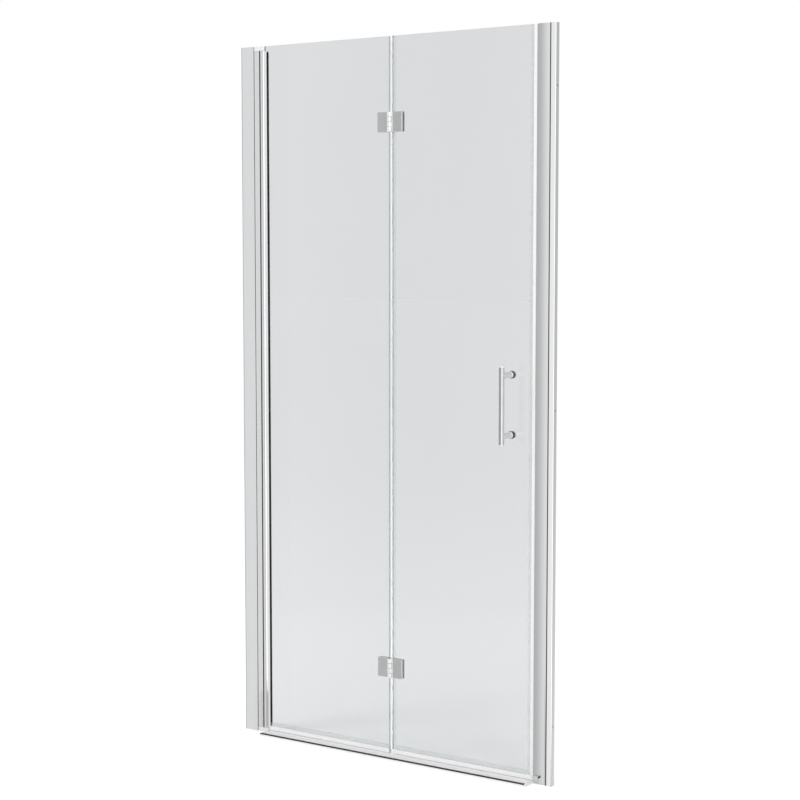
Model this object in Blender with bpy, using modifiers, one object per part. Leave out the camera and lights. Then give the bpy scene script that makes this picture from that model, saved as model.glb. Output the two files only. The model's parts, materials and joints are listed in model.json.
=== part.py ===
"""Bifold shower door for a niche: wall profiles, pivot stile, two glass leaves, hinges and seals.

Metres, +Z up. X runs along the doorway from the pivot side to the strike side, -Y faces the room
and +Y faces the shower. The origin is on the floor, midway between the walls, in the glass plane.
"""

import bmesh
import bpy
from math import acos, asin, atan2, cos, pi, sin, sqrt, tan
from mathutils import Matrix, Vector

# Doorway and frame
door_width = 0.988
door_height = 1.900
frame_depth = 0.017
profile_wall = 0.0015
profile_round = 0.0013

# Clearances
fit_gap = 0.0003
swing_gap = 0.0005
closing_gap = 0.0008
cut_overrun = 0.002
joint_overlap = 0.0005

# Wall side of the pivot: wall profile, pivot carrier and its clamp screws
left_leg = 0.0435
pivot_from_wall = 0.070
carrier_length = 0.060
carrier_lip_share = 0.9
left_clamp_from_wall = 0.029

# Strike side: wall profile and strike profile
right_leg = 0.0158
strike_from_wall = 0.0538
strike_hidden_end = 0.008
strike_curve_end = 0.019
strike_nose_half = 0.0052
strike_bulge = 0.0009
magnet_groove_depth = 0.003
magnet_groove_half = 0.003
right_clamp_from_wall = 0.012

# Screws through the profiles, as shares of the door height
wall_screw_shares = (0.08, 0.50, 0.92)
clamp_screw_shares = (0.12, 0.54, 0.88)
wall_screw_hole = 0.0025
clamp_shank = 0.0019
clamp_reach = 0.0055
clamp_head = 0.0036
clamp_head_height = 0.0022

# Pivot blocks, bushes and pins
block_height = 0.012
block_length = 0.046
block_floor = 0.0025
block_spigot_height = 0.012
block_spigot_end = 0.004
bush_wall = 0.0012
bush_flange = 0.0068
bush_flange_thickness = 0.001
pivot_pin = 0.003
pin_engagement = 0.020
pin_chamfer = 0.0005
top_cap_stem = 0.020

# Pivot stile and its glazing gasket
stile_radius = 0.0083
stile_arm_length = 0.016
stile_arm_half = 0.0057
stile_arm_wall = 0.0012
gasket_lip = 0.0015
gasket_lip_height = 0.0021
gasket_bottom = 0.027
gasket_below_top = 0.0165

# Glass
glass_thickness = 0.006
glass_bottom = 0.018
glass_arris = 0.0007
glass_hole = 0.004
glass_gap = 0.011
fold_axis_x = 0.001
fold_axis_y = -0.009

# Seals
seal_wall = 0.001
bottom_seal_leg = 0.012
bottom_seal_foot = 0.0073
bottom_seal_fin = 0.0045
edge_seal_leg = 0.010
fin_thickness = 0.0012
fin_foot = 0.0036
magnet_pocket = 0.0075
seal_notch_margin = 0.0006
magnet_inset = 0.012

# Hinges between the leaves
hinge_from_glass_end = 0.221
hinge_height = 0.052
hinge_reach = 0.0385
hinge_edge = 0.0008
clamp_plate_thickness = 0.004
barrel_radius = 0.0063
barrel_pin = 0.0025
knuckle_count = 4
pin_head = 0.0044
pin_head_height = 0.0013
hinge_screw_across_share = 0.60
hinge_screw_spacing = 0.026
hinge_screw = 0.0024
hinge_screw_head = 0.0046
hinge_screw_head_height = 0.0024
hinge_screw_bite = 0.0038
socket_share = 0.55
socket_depth = 0.0012

# Handle
handle_centre_height = 0.959
handle_length = 0.200
handle_from_free_edge = 0.070
handle_standoff = 0.048
handle_bar_radius = 0.007
handle_bar_round = 0.0012
handle_post_inset = 0.024
handle_post_radius = 0.008
handle_post_flange = 0.010
handle_flange_thickness = 0.002
handle_washer_thickness = 0.0012
handle_stud = 0.003
handle_stud_bite = 0.014
handle_nut_radius = 0.0095
handle_nut_height = 0.006

# Sill strip and the pin at the strike's foot
sill_front = 0.045
sill_height = 0.006
sill_round = 0.0045
sill_left_gap = 0.001
sill_cap_left = 0.0037
sill_cap_right = 0.0115
sill_groove_width = 0.010
sill_groove_depth = 0.0015
sill_groove_shares = (0.25, 0.65)
foot_pin_height = 0.019
foot_pin_start = 0.001
foot_pin_length = 0.019
foot_pin_radius = 0.0024
foot_pin_head = 0.0036
foot_pin_head_length = 0.003

# Faceting
round_steps = 24
small_round_steps = 16
corner_steps = 4

# Places worked out from the sizes
half_width = door_width / 2
half_depth = frame_depth / 2
channel_half = half_depth - profile_wall
carrier_half = channel_half - fit_gap
pivot_x = -half_width + pivot_from_wall
strike_x = half_width - strike_from_wall
glass_half = glass_thickness / 2
glass_face = glass_half + fit_gap
block_nose = stile_radius - fit_gap
pivot_glass_left = pivot_x + stile_radius + fit_gap
pivot_glass_right = fold_axis_x - glass_gap / 2
folding_glass_left = fold_axis_x + glass_gap / 2
free_edge = strike_x - closing_gap
folding_glass_right = free_edge - magnet_pocket - seal_wall - fit_gap
stile_end = block_height + bush_flange_thickness + 2 * fit_gap
bush_bore = pivot_pin + fit_gap
bush_outer = bush_bore + bush_wall
seal_leg_outer = glass_face + seal_wall
bottom_seal_top = glass_bottom + bottom_seal_leg
sill_left = pivot_x + block_nose + sill_left_gap
sill_right = strike_x - closing_gap
hinge_heights = (door_height - hinge_from_glass_end, glass_bottom + hinge_from_glass_end)
handle_x = free_edge - handle_from_free_edge
handle_y = -(glass_half + handle_standoff)


def clear_scene():
    for thing in list(bpy.data.objects):
        bpy.data.objects.remove(thing, do_unlink=True)


def make_collection(name):
    collection = bpy.data.collections.new(name)
    bpy.context.scene.collection.children.link(collection)
    return collection


def make_material(name, colour, roughness, metallic=0.0, transmission=0.0):
    material = bpy.data.materials.new(name)
    material.use_nodes = True
    shader = material.node_tree.nodes["Principled BSDF"]
    shader.inputs["Base Color"].default_value = (*colour, 1.0)
    shader.inputs["Roughness"].default_value = roughness
    shader.inputs["Metallic"].default_value = metallic
    shader.inputs["Transmission Weight"].default_value = transmission
    material.diffuse_color = (*colour, 1.0)
    return material


def make_axis(name, place, parent=None):
    """An empty on a joint's axis, or at the origin, that carries a body's pieces."""
    axis = bpy.data.objects.new(name, None)
    parts.objects.link(axis)
    axis.location = place
    if parent:
        axis.parent = parent
        axis.matrix_parent_inverse = Matrix.Translation(-parent.location)
    return axis


def finish(piece, material, body):
    """Give a piece its own material and hang it on its body's empty, where it already is."""
    piece.data.materials.clear()
    piece.data.materials.append(make_material(piece.name, *material))
    piece.parent = body
    piece.matrix_parent_inverse = Matrix.Translation(-body.location)
    return piece


def as_cutter(piece):
    parts.objects.unlink(piece)
    cutters.objects.link(piece)
    piece.hide_render = True
    piece.display_type = "WIRE"
    return piece


def combine(piece, other, operation):
    modifier = piece.modifiers.new(operation.title(), "BOOLEAN")
    modifier.operation = operation
    modifier.solver = "EXACT"
    modifier.object = as_cutter(other)
    return piece


def cut(piece, other):
    return combine(piece, other, "DIFFERENCE")


def join(piece, other):
    return combine(piece, other, "UNION")


def as_mesh(curve_piece):
    """Turn a filled curve into a welded mesh, so that it can be cut."""
    bpy.context.view_layer.update()
    evaluated = curve_piece.evaluated_get(bpy.context.evaluated_depsgraph_get())
    mesh = bpy.data.meshes.new_from_object(evaluated)
    shape = bmesh.new()
    shape.from_mesh(mesh)
    bmesh.ops.remove_doubles(shape, verts=shape.verts, dist=fit_gap / 100)
    bmesh.ops.recalc_face_normals(shape, faces=shape.faces)
    shape.to_mesh(mesh)
    shape.free()
    name = curve_piece.name
    place = curve_piece.matrix_world.copy()
    bpy.data.objects.remove(curve_piece, do_unlink=True)
    piece = bpy.data.objects.new(name, mesh)
    parts.objects.link(piece)
    piece.matrix_world = place
    return piece


def outline_solid(name, loops, low, high):
    """A flat outline, with any holes as further loops, extruded from low to high along local Z."""
    curve = bpy.data.curves.new(name, "CURVE")
    curve.dimensions = "2D"
    curve.fill_mode = "BOTH"
    curve.extrude = (high - low) / 2
    holes = [list(reversed(loop)) for loop in loops[1:]]
    for loop in loops[:1] + holes:
        spline = curve.splines.new("POLY")
        spline.points.add(len(loop) - 1)
        for point, (across, along) in zip(spline.points, loop):
            point.co = (across, along, 0, 1)
        spline.use_cyclic_u = True
    piece = bpy.data.objects.new(name, curve)
    parts.objects.link(piece)
    return piece


def along_z(name, loops, low, high):
    """Outline in X and Y, running along Z."""
    piece = outline_solid(name, loops, low, high)
    piece.location.z = (low + high) / 2
    return piece


def along_x(name, loops, low, high):
    """Outline in Y and Z, running along X."""
    piece = outline_solid(name, loops, low, high)
    piece.rotation_euler = (pi / 2, 0, pi / 2)
    piece.location.x = (low + high) / 2
    return piece


def along_y(name, loops, low, high):
    """Outline in X and Z, running along Y."""
    piece = outline_solid(name, loops, low, high)
    piece.rotation_euler = (pi / 2, 0, 0)
    piece.location.y = (low + high) / 2
    return piece


def box(name, low, high, edge=0.0):
    """A block between two corners, with its edges broken by a bevel if one is given."""
    shape = bmesh.new()
    size = Vector(high) - Vector(low)
    bmesh.ops.create_cube(shape, size=1, matrix=Matrix.Diagonal((*size, 1)))
    mesh = bpy.data.meshes.new(name)
    shape.to_mesh(mesh)
    shape.free()
    piece = bpy.data.objects.new(name, mesh)
    parts.objects.link(piece)
    piece.location = (Vector(low) + Vector(high)) / 2
    if edge:
        bevel = piece.modifiers.new("Broken edges", "BEVEL")
        bevel.width = edge
        bevel.segments = 1
    return piece


def turned(name, profile, place, turn=(0, 0, 0), steps=round_steps):
    """A turned piece: (radius, height) points, from the top down the outer side, spun about Z."""
    mesh = bpy.data.meshes.new(name)
    points = [(radius, 0, height) for radius, height in profile]
    closed = min(radius for radius, height in profile) > 0
    edges = [(index, index + 1) for index in range(len(points) - 1)]
    if closed:
        edges.append((len(points) - 1, 0))
    mesh.from_pydata(points, edges, [])
    piece = bpy.data.objects.new(name, mesh)
    parts.objects.link(piece)
    piece.location = place
    piece.rotation_euler = turn
    spin = piece.modifiers.new("Turn", "SCREW")
    spin.axis = "Z"
    spin.angle = 2 * pi
    spin.steps = steps
    spin.render_steps = steps
    spin.use_merge_vertices = True
    spin.merge_threshold = fit_gap / 100
    spin.use_smooth_shade = True
    return piece


def rods(name, places, radius, low, high, turn=(0, 0, 0), steps=small_round_steps):
    """Straight rods side by side in one cutter, from low to high along their own axis."""
    shape = bmesh.new()
    rotation = Matrix.Rotation(turn[1], 4, "Y") @ Matrix.Rotation(turn[0], 4, "X")
    middle = Matrix.Translation((0, 0, (low + high) / 2))
    for place in places:
        matrix = Matrix.Translation(place) @ rotation @ middle
        bmesh.ops.create_cone(shape, cap_ends=True, segments=steps, radius1=radius, radius2=radius,
                              depth=high - low, matrix=matrix)
    mesh = bpy.data.meshes.new(name)
    shape.to_mesh(mesh)
    shape.free()
    piece = bpy.data.objects.new(name, mesh)
    parts.objects.link(piece)
    return piece


def arc(centre, radius, start, end, steps):
    """Points on a circle from one angle to another, both included."""
    angles = [start + (end - start) * step / steps for step in range(steps + 1)]
    return [(centre[0] + radius * cos(angle), centre[1] + radius * sin(angle)) for angle in angles]


def bow(start, end, rise, steps):
    """Points on a shallow arc from start to end that rises to the right of the way it runs."""
    start, end = Vector(start), Vector(end)
    half = (end - start).length / 2
    radius = (half * half + rise * rise) / (2 * rise)
    way = (end - start).normalized()
    side = Vector((way.y, -way.x))
    centre = (start + end) / 2 - side * (radius - rise)
    first = atan2(start.y - centre.y, start.x - centre.x)
    sweep = 2 * asin(half / radius)
    return arc(centre, radius, first, first + sweep, steps)


def rounded(corners):
    """An outline from (across, along, radius) corners, each rounded by its own radius."""
    points = []
    for index, (across, along, radius) in enumerate(corners):
        corner = Vector((across, along))
        if not radius:
            points.append((across, along))
            continue
        before = (Vector(corners[index - 1][:2]) - corner).normalized()
        after = (Vector(corners[(index + 1) % len(corners)][:2]) - corner).normalized()
        half = before.angle(after) / 2
        centre = corner + (before + after).normalized() * radius / sin(half)
        first = corner + before * radius / tan(half) - centre
        last = corner + after * radius / tan(half) - centre
        start = atan2(first.y, first.x)
        sweep = (atan2(last.y, last.x) - start + pi) % (2 * pi) - pi
        points += arc(centre, radius, start, start + sweep, corner_steps)
    return points


def rectangle(left, low, right, high):
    return [(left, low), (right, low), (right, high), (left, high)]


towards_shower = (-pi / 2, 0, 0)
towards_strike = (0, pi / 2, 0)
upside_down = (pi, 0, 0)

# Colours are linear, then roughness, metallic and transmission
polished_aluminium = ((0.74, 0.75, 0.76), 0.18, 1.0)
chrome = ((0.55, 0.55, 0.56), 0.08, 1.0)
stainless = ((0.48, 0.48, 0.49), 0.25, 1.0)
clear_glass = ((0.86, 0.90, 0.90), 0.02, 0.0, 1.0)
clear_vinyl = ((0.82, 0.85, 0.86), 0.25, 0.0, 0.6)
white_vinyl = ((0.85, 0.86, 0.86), 0.35)
black_rubber = ((0.02, 0.02, 0.02), 0.55)
white_nylon = ((0.80, 0.80, 0.79), 0.45)
grey_plastic = ((0.62, 0.63, 0.64), 0.40)
dark_magnet = ((0.06, 0.06, 0.06), 0.60)


def wall_channel(name, wall_x, side, leg):
    """A U channel whose web lies on the wall, with holes for its wall and clamp screws."""
    web = wall_x + side * profile_wall
    tip = wall_x + side * leg
    corners = [
        (wall_x, -half_depth, profile_round),
        (tip, -half_depth, 0),
        (tip, -channel_half, 0),
        (web, -channel_half, 0),
        (web, channel_half, 0),
        (tip, channel_half, 0),
        (tip, half_depth, 0),
        (wall_x, half_depth, profile_round),
    ]
    if side < 0:
        corners.reverse()
    piece = as_mesh(along_z(name, [rounded(corners)], 0, door_height))
    low = -profile_wall - cut_overrun
    spots = [(wall_x, 0, door_height * share) for share in wall_screw_shares]
    return cut(piece, rods(name + "_wall_holes", spots, wall_screw_hole, low, -low, towards_strike))


def clamp_screws(prefix, clamp_x, channel, inner, body):
    """Screws through the channel's shower side leg that hold the profile inside it."""
    spots = [(clamp_x, half_depth, door_height * share) for share in clamp_screw_shares]
    for piece in (channel, inner):
        cutter = rods(piece.name + "_clamp_holes", spots, clamp_shank + fit_gap,
                      -clamp_reach, cut_overrun, towards_shower)
        cut(piece, cutter)
    head_step = clamp_head_height / 2
    profile = [
        (0, clamp_head_height),
        (clamp_head * cos(pi / 4), clamp_head_height),
        (clamp_head, head_step),
        (clamp_head, 0),
        (clamp_shank, 0),
        (clamp_shank, -clamp_reach + clamp_shank),
        (0, -clamp_reach),
    ]
    for label, (across, depth, height) in zip(("low", "middle", "high"), spots):
        name = prefix + "_clamp_screw_" + label
        screw = turned(name, profile, (across, depth + fit_gap, height), towards_shower,
                       small_round_steps)
        recess = rods(name + "_recess", [(across, depth + fit_gap, height)],
                      clamp_head * socket_share, clamp_head_height - socket_depth,
                      clamp_head_height + cut_overrun, towards_shower, 6)
        cut(screw, recess)
        finish(screw, stainless, body)


def pivot_carrier():
    """The profile that slides in the left wall channel and cradles the round pivot stile."""
    cradle = stile_radius + swing_gap
    lip = cradle * carrier_lip_share
    opening = acos(lip / cradle)
    back = pivot_x - carrier_length
    web = pivot_x - cradle - profile_wall
    inner = carrier_half - profile_wall
    loop = [(back, -carrier_half), (pivot_x - lip, -carrier_half)]
    loop += arc((pivot_x, 0), cradle, pi + opening, pi - opening, corner_steps * 2)
    loop += [
        (pivot_x - lip, carrier_half),
        (back, carrier_half),
        (back, inner),
        (web, inner),
        (web, -inner),
        (back, -inner),
    ]
    low = block_height + fit_gap
    return as_mesh(along_z("pivot_carrier", [loop], low, door_height - low))


def pivot_block(name, floor, up):
    """A pivot block: round nose under the stile, a bush bore and a spigot into the carrier."""
    corner = acos(sqrt(block_nose * block_nose - carrier_half * carrier_half) / block_nose)
    back = pivot_x - block_length
    loop = arc((pivot_x, 0), block_nose, corner - pi, pi - corner, round_steps)
    loop += [(back, carrier_half), (back, -carrier_half)]
    levels = sorted((floor, floor + up * block_height))
    block = as_mesh(along_z(name, [loop], *levels))
    cradle = stile_radius + swing_gap
    inner = carrier_half - profile_wall - fit_gap
    root = floor + up * (block_height - joint_overlap)
    tip = floor + up * (block_height + block_spigot_height)
    spigot = box(name + "_spigot", (back + block_spigot_end, -inner, min(root, tip)),
                 (pivot_x - cradle - profile_wall - fit_gap, inner, max(root, tip)))
    join(block, spigot)
    bore = sorted((floor + up * block_floor, floor + up * (block_height + cut_overrun)))
    return cut(block, rods(name + "_bore", [(pivot_x, 0, 0)], bush_outer + fit_gap, *bore,
                           steps=round_steps))


def pivot_bush(name, floor, turn):
    """A flanged bush in a pivot block's bore, measured up from the block's outer end."""
    bottom = block_floor + fit_gap
    flange_low = block_height + fit_gap
    flange_top = flange_low + bush_flange_thickness
    profile = [
        (bush_bore, flange_top),
        (bush_flange, flange_top),
        (bush_flange, flange_low),
        (bush_outer, flange_low),
        (bush_outer, bottom),
        (bush_bore, bottom),
    ]
    return turned(name, profile, (pivot_x, 0, floor), turn)


def stile_pin(name, floor, turn):
    """A pivot pin fixed in the stile's bore that turns in the bush."""
    bottom = block_floor + fit_gap + swing_gap
    top = stile_end + pin_engagement
    profile = [
        (0, top),
        (pivot_pin - pin_chamfer, top),
        (pivot_pin, top - pin_chamfer),
        (pivot_pin, bottom + pin_chamfer),
        (pivot_pin - pin_chamfer, bottom),
        (0, bottom),
    ]
    return turned(name, profile, (pivot_x, 0, floor), turn)


def top_cap_left():
    """Closes the channel behind the carrier: a stem down the web and a plate over the carrier."""
    wall = -half_width + profile_wall + fit_gap
    behind = pivot_x - carrier_length - fit_gap
    front = pivot_x - block_length - fit_gap
    plate = door_height - block_height
    loop = [
        (wall, plate - top_cap_stem),
        (behind, plate - top_cap_stem),
        (behind, plate),
        (front, plate),
        (front, door_height),
        (wall, door_height),
    ]
    return along_y("left_top_cap", [loop], -carrier_half, carrier_half)


def strike_front():
    """The bowed outer face of the strike profile, from its nose towards the wall."""
    return bow((strike_x, -strike_nose_half), (half_width - strike_curve_end, -carrier_half),
               strike_bulge, corner_steps * 2)


def strike_face_at(across):
    """How far the bowed face stands out at a place along X."""
    points = strike_front()
    for start, end in zip(points, points[1:]):
        if start[0] <= across <= end[0]:
            share = (across - start[0]) / (end[0] - start[0])
            return -(start[1] + (end[1] - start[1]) * share)
    return carrier_half


def strike_outlines():
    """The strike profile's outer outline, with its magnet groove, and its hollow."""
    back = half_width - strike_hidden_end
    curve_end = half_width - strike_curve_end
    groove = strike_x + magnet_groove_depth
    front = strike_front()
    outer = front + [(back, -carrier_half), (back, carrier_half)]
    outer += [(across, -along) for across, along in reversed(front)]
    outer += [
        (strike_x, magnet_groove_half),
        (groove, magnet_groove_half),
        (groove, -magnet_groove_half),
        (strike_x, -magnet_groove_half),
    ]
    inner = carrier_half - profile_wall
    nose = strike_nose_half - profile_wall
    hollow = [
        (groove + profile_wall, -nose),
        (curve_end, -inner),
        (back - profile_wall, -inner),
        (back - profile_wall, inner),
        (curve_end, inner),
        (groove + profile_wall, nose),
    ]
    return outer, hollow


def build_strike_side(body):
    channel = finish(wall_channel("right_wall_profile", half_width, -1, right_leg),
                     polished_aluminium, body)
    outer, hollow = strike_outlines()
    strike = as_mesh(along_z("strike_profile", [outer, hollow], 0, door_height))
    finish(strike, polished_aluminium, body)
    clamp_screws("right", half_width - right_clamp_from_wall, channel, strike, body)
    magnet = rectangle(strike_x + fit_gap, -magnet_groove_half + fit_gap,
                       strike_x + magnet_groove_depth - fit_gap, magnet_groove_half - fit_gap)
    finish(along_z("strike_magnet", [magnet], magnet_inset, door_height - magnet_inset),
           dark_magnet, body)
    middle = Vector(((hollow[0][0] + hollow[2][0]) / 2, 0))
    plug = []
    for across, along in hollow:
        plug.append((across - fit_gap if across > middle.x else across + fit_gap,
                     along - fit_gap if along > 0 else along + fit_gap))
    finish(along_z("right_top_cap", [plug], door_height - block_height, door_height),
           grey_plastic, body)


def build_pivot_side(body):
    channel = finish(wall_channel("left_wall_profile", -half_width, 1, left_leg),
                     polished_aluminium, body)
    carrier = finish(pivot_carrier(), polished_aluminium, body)
    clamp_screws("left", -half_width + left_clamp_from_wall, channel, carrier, body)
    finish(top_cap_left(), grey_plastic, body)
    finish(pivot_block("bottom_pivot_block", 0, 1), chrome, body)
    finish(pivot_block("top_pivot_block", door_height, -1), chrome, body)
    finish(pivot_bush("bottom_pivot_bush", 0, (0, 0, 0)), white_nylon, body)
    finish(pivot_bush("top_pivot_bush", door_height, upside_down), white_nylon, body)


def sill_outline():
    front = -sill_front
    corners = [
        (front, 0, 0),
        (half_depth, 0, 0),
        (half_depth, sill_height, profile_round),
        (front, sill_height, sill_round),
    ]
    return rounded(corners)


def build_sill(body):
    bar_left = sill_left + sill_cap_left + fit_gap
    bar_right = sill_right - sill_cap_right - fit_gap
    bar = as_mesh(along_x("sill_bar", [sill_outline()], bar_left, bar_right))
    for share in sill_groove_shares:
        start = -sill_front * share - sill_groove_width
        groove = box("sill_groove", (bar_left - cut_overrun, start, -cut_overrun),
                     (bar_right + cut_overrun, start + sill_groove_width, sill_groove_depth))
        cut(bar, groove)
    finish(bar, polished_aluminium, body)
    finish(along_x("sill_cap_left", [sill_outline()], sill_left, sill_left + sill_cap_left),
           white_nylon, body)
    finish(along_x("sill_cap_right", [sill_outline()], sill_right - sill_cap_right, sill_right),
           white_nylon, body)


def build_foot_pin(body):
    """A small headed pin along the strike profile's foot, on a flat seat against the face."""
    start = strike_x + foot_pin_start
    face = strike_face_at(start + foot_pin_length) + fit_gap
    centre = -(face + foot_pin_head)
    profile = [
        (0, foot_pin_length),
        (foot_pin_head * cos(pi / 4), foot_pin_length - foot_pin_head_length * (1 - sin(pi / 4))),
        (foot_pin_head, foot_pin_length - foot_pin_head_length),
        (foot_pin_radius, foot_pin_length - foot_pin_head_length),
        (foot_pin_radius, 0),
        (0, 0),
    ]
    pin = turned("strike_foot_pin", profile, (start, centre, foot_pin_height), towards_strike,
                 small_round_steps)
    seat = box("strike_foot_pin_seat",
               (start + foot_pin_radius, centre, foot_pin_height - foot_pin_radius / 2),
               (start + foot_pin_length - foot_pin_head_length - foot_pin_radius, -face,
                foot_pin_height + foot_pin_radius / 2))
    finish(join(pin, seat), chrome, body)


def stile_outline():
    """Round pivot stile with two arms that hold the glass, relative to the pivot axis."""
    root = asin(stile_arm_half / stile_radius)
    tip = stile_arm_length
    channel = stile_arm_half - stile_arm_wall
    loop = arc((0, 0), stile_radius, root, 2 * pi - root, round_steps)
    loop += [
        (tip, -stile_arm_half),
        (tip, -channel),
        (stile_radius, -channel),
        (stile_radius, channel),
        (tip, channel),
        (tip, stile_arm_half),
    ]
    return [(pivot_x + across, along) for across, along in loop]


def gasket_outline(side):
    """A gasket strip between glass and arm, with a lip over the arm's tip."""
    inner = pivot_x + stile_radius + fit_gap
    tip = pivot_x + stile_arm_length + fit_gap
    lip = tip + gasket_lip
    outer = stile_arm_half - stile_arm_wall - fit_gap
    lip_face = glass_face + gasket_lip_height
    loop = [
        (inner, glass_face),
        (lip, glass_face),
        (lip, lip_face - gasket_lip_height / 2),
        (lip - gasket_lip_height / 2, lip_face),
        (tip, lip_face),
        (tip, outer),
        (inner, outer),
    ]
    if side < 0:
        loop = [(across, -along) for across, along in reversed(loop)]
    return loop


def bottom_seal_outline():
    """Legs on both glass faces, a web under the glass, a hollow foot and a fin to the shower."""
    web = glass_bottom - fit_gap
    floor = web - seal_wall
    half = seal_leg_outer
    foot = bottom_seal_foot
    outer = [
        (-half, foot + seal_wall),
        (-half + seal_wall, foot),
        (half - seal_wall, foot),
        (half, foot + seal_wall),
        (half, foot + seal_wall * 2),
        (half + bottom_seal_fin, foot + seal_wall),
        (half + bottom_seal_fin, foot + seal_wall * 2),
        (half, floor - seal_wall),
        (half, bottom_seal_top),
        (glass_face, bottom_seal_top),
        (glass_face, web),
        (-glass_face, web),
        (-glass_face, bottom_seal_top),
        (-half, bottom_seal_top),
    ]
    inside = half - seal_wall
    hollow = rectangle(-inside, foot + seal_wall * 2, inside, floor)
    return outer, hollow


def build_bottom_seal(name, left, right, body):
    finish(along_x(name, list(bottom_seal_outline()), left, right), white_vinyl, body)


def clear_legs(seal, left, right):
    """Cut an edge seal's legs away above the bottom seal's legs and round the hinge plates."""
    heights = [(-cut_overrun, bottom_seal_top + fit_gap)]
    if seal.name == "fold_seal":
        for centre in hinge_heights:
            half = hinge_height / 2 + seal_notch_margin
            heights.append((centre - half, centre + half))
    for low, high in heights:
        for side in (-1, 1):
            faces = sorted((side * (glass_half + fit_gap / 2), side * half_depth))
            cut(seal, box(seal.name + "_notch", (left, faces[0], low), (right, faces[1], high)))
    return seal


def build_fold_seal(body):
    """Clear seal on the folding glass, with a fin that closes the gap to the pivot glass."""
    left = folding_glass_left - fit_gap - seal_wall
    web = folding_glass_left - fit_gap
    tip = folding_glass_left + edge_seal_leg
    nose = pivot_glass_right + fit_gap
    half_fin = fin_thickness / 2
    half_foot = fin_foot / 2
    loop = [
        (nose, -half_foot),
        (nose + fin_thickness, -half_foot),
        (nose + fin_thickness, -half_fin),
        (left, -half_fin),
        (left, -seal_leg_outer),
        (tip, -seal_leg_outer),
        (tip, -glass_face),
        (web, -glass_face),
        (web, glass_face),
        (tip, glass_face),
        (tip, seal_leg_outer),
        (left, seal_leg_outer),
        (left, half_fin),
        (nose + fin_thickness, half_fin),
        (nose + fin_thickness, half_foot),
        (nose, half_foot),
    ]
    seal = as_mesh(along_z("fold_seal", [loop], glass_bottom, door_height))
    clear_legs(seal, left - cut_overrun, tip + cut_overrun)
    finish(seal, clear_vinyl, body)


def build_magnet_seal(body):
    """Magnetic seal on the free edge: legs on the glass and a pocket with a bar magnet."""
    web = folding_glass_right + fit_gap
    tip = folding_glass_right - edge_seal_leg
    pocket = web + seal_wall
    outer = [
        (tip, -seal_leg_outer),
        (free_edge, -seal_leg_outer),
        (free_edge, seal_leg_outer),
        (tip, seal_leg_outer),
        (tip, glass_face),
        (web, glass_face),
        (web, -glass_face),
        (tip, -glass_face),
    ]
    hollow = rectangle(pocket, -glass_face, free_edge - seal_wall, glass_face)
    seal = as_mesh(along_z("magnet_seal", [outer, hollow], bottom_seal_foot, door_height))
    clear_legs(seal, tip - cut_overrun, web + fit_gap / 2)
    below = box("magnet_seal_web_notch", (tip - cut_overrun, -half_depth, -cut_overrun),
                (web, half_depth, glass_bottom + fit_gap))
    finish(cut(seal, below), white_vinyl, body)
    bar = rectangle(pocket + fit_gap, -glass_face + fit_gap, free_edge - seal_wall - fit_gap,
                    glass_face - fit_gap)
    finish(along_z("seal_magnet", [bar], magnet_inset, door_height - magnet_inset),
           dark_magnet, body)


def hinge_screw_spots(side, centre):
    across = fold_axis_x + side * hinge_reach * hinge_screw_across_share
    return [(across, 0, centre + lift * hinge_screw_spacing / 2) for lift in (1, -1)]


def glass_leaf(name, left, right, side, body, holes=()):
    """A pane with broken edges, and holes for its hinge screws and any handle studs."""
    pane = box(name, (left, -glass_half, glass_bottom), (right, glass_half, door_height),
               glass_arris)
    spots = list(holes)
    for centre in hinge_heights:
        spots += hinge_screw_spots(side, centre)
    reach = glass_half + cut_overrun
    cut(pane, rods(name + "_holes", spots, glass_hole, -reach, reach, towards_shower))
    return finish(pane, clear_glass, body)


def hinge_plate(name, side, centre, body):
    """The outer plate of one leaf with its share of the barrel's knuckles."""
    low = centre - hinge_height / 2
    near = barrel_radius + closing_gap
    ends = sorted((fold_axis_x + side * near, fold_axis_x + side * hinge_reach))
    plate = box(name, (ends[0], fold_axis_y, low), (ends[1], -glass_face, low + hinge_height),
                hinge_edge)
    depth = -glass_face - fold_axis_y
    shoulder = asin(depth / barrel_radius) if depth < barrel_radius else pi / 2
    pitch = hinge_height / knuckle_count
    arm = near + hinge_edge + joint_overlap
    first = 0 if side < 0 else 1
    for level in range(first, knuckle_count, 2):
        ring = arc((0, 0), barrel_radius, pi - shoulder, -pi, round_steps)
        loop = ring + [(-arm, hinge_edge), (-arm, depth - hinge_edge), (-near, depth - hinge_edge)]
        loop = [(fold_axis_x - side * across, fold_axis_y + along) for across, along in loop]
        knuckle = along_z(name + "_knuckle", [loop], low + level * pitch + fit_gap / 2,
                          low + (level + 1) * pitch - fit_gap / 2)
        join(plate, as_mesh(knuckle))
    bore = rods(name + "_bore", [(fold_axis_x, fold_axis_y, 0)], barrel_pin + fit_gap,
                low - cut_overrun, low + hinge_height + cut_overrun)
    cut(plate, bore)
    start = glass_face - hinge_screw_bite - fit_gap * 2
    taps = rods(name + "_taps", hinge_screw_spots(side, centre), hinge_screw + fit_gap,
                -glass_face - hinge_screw_bite - fit_gap, start, towards_shower)
    cut(plate, taps)
    finish(plate, chrome, body)


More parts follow.
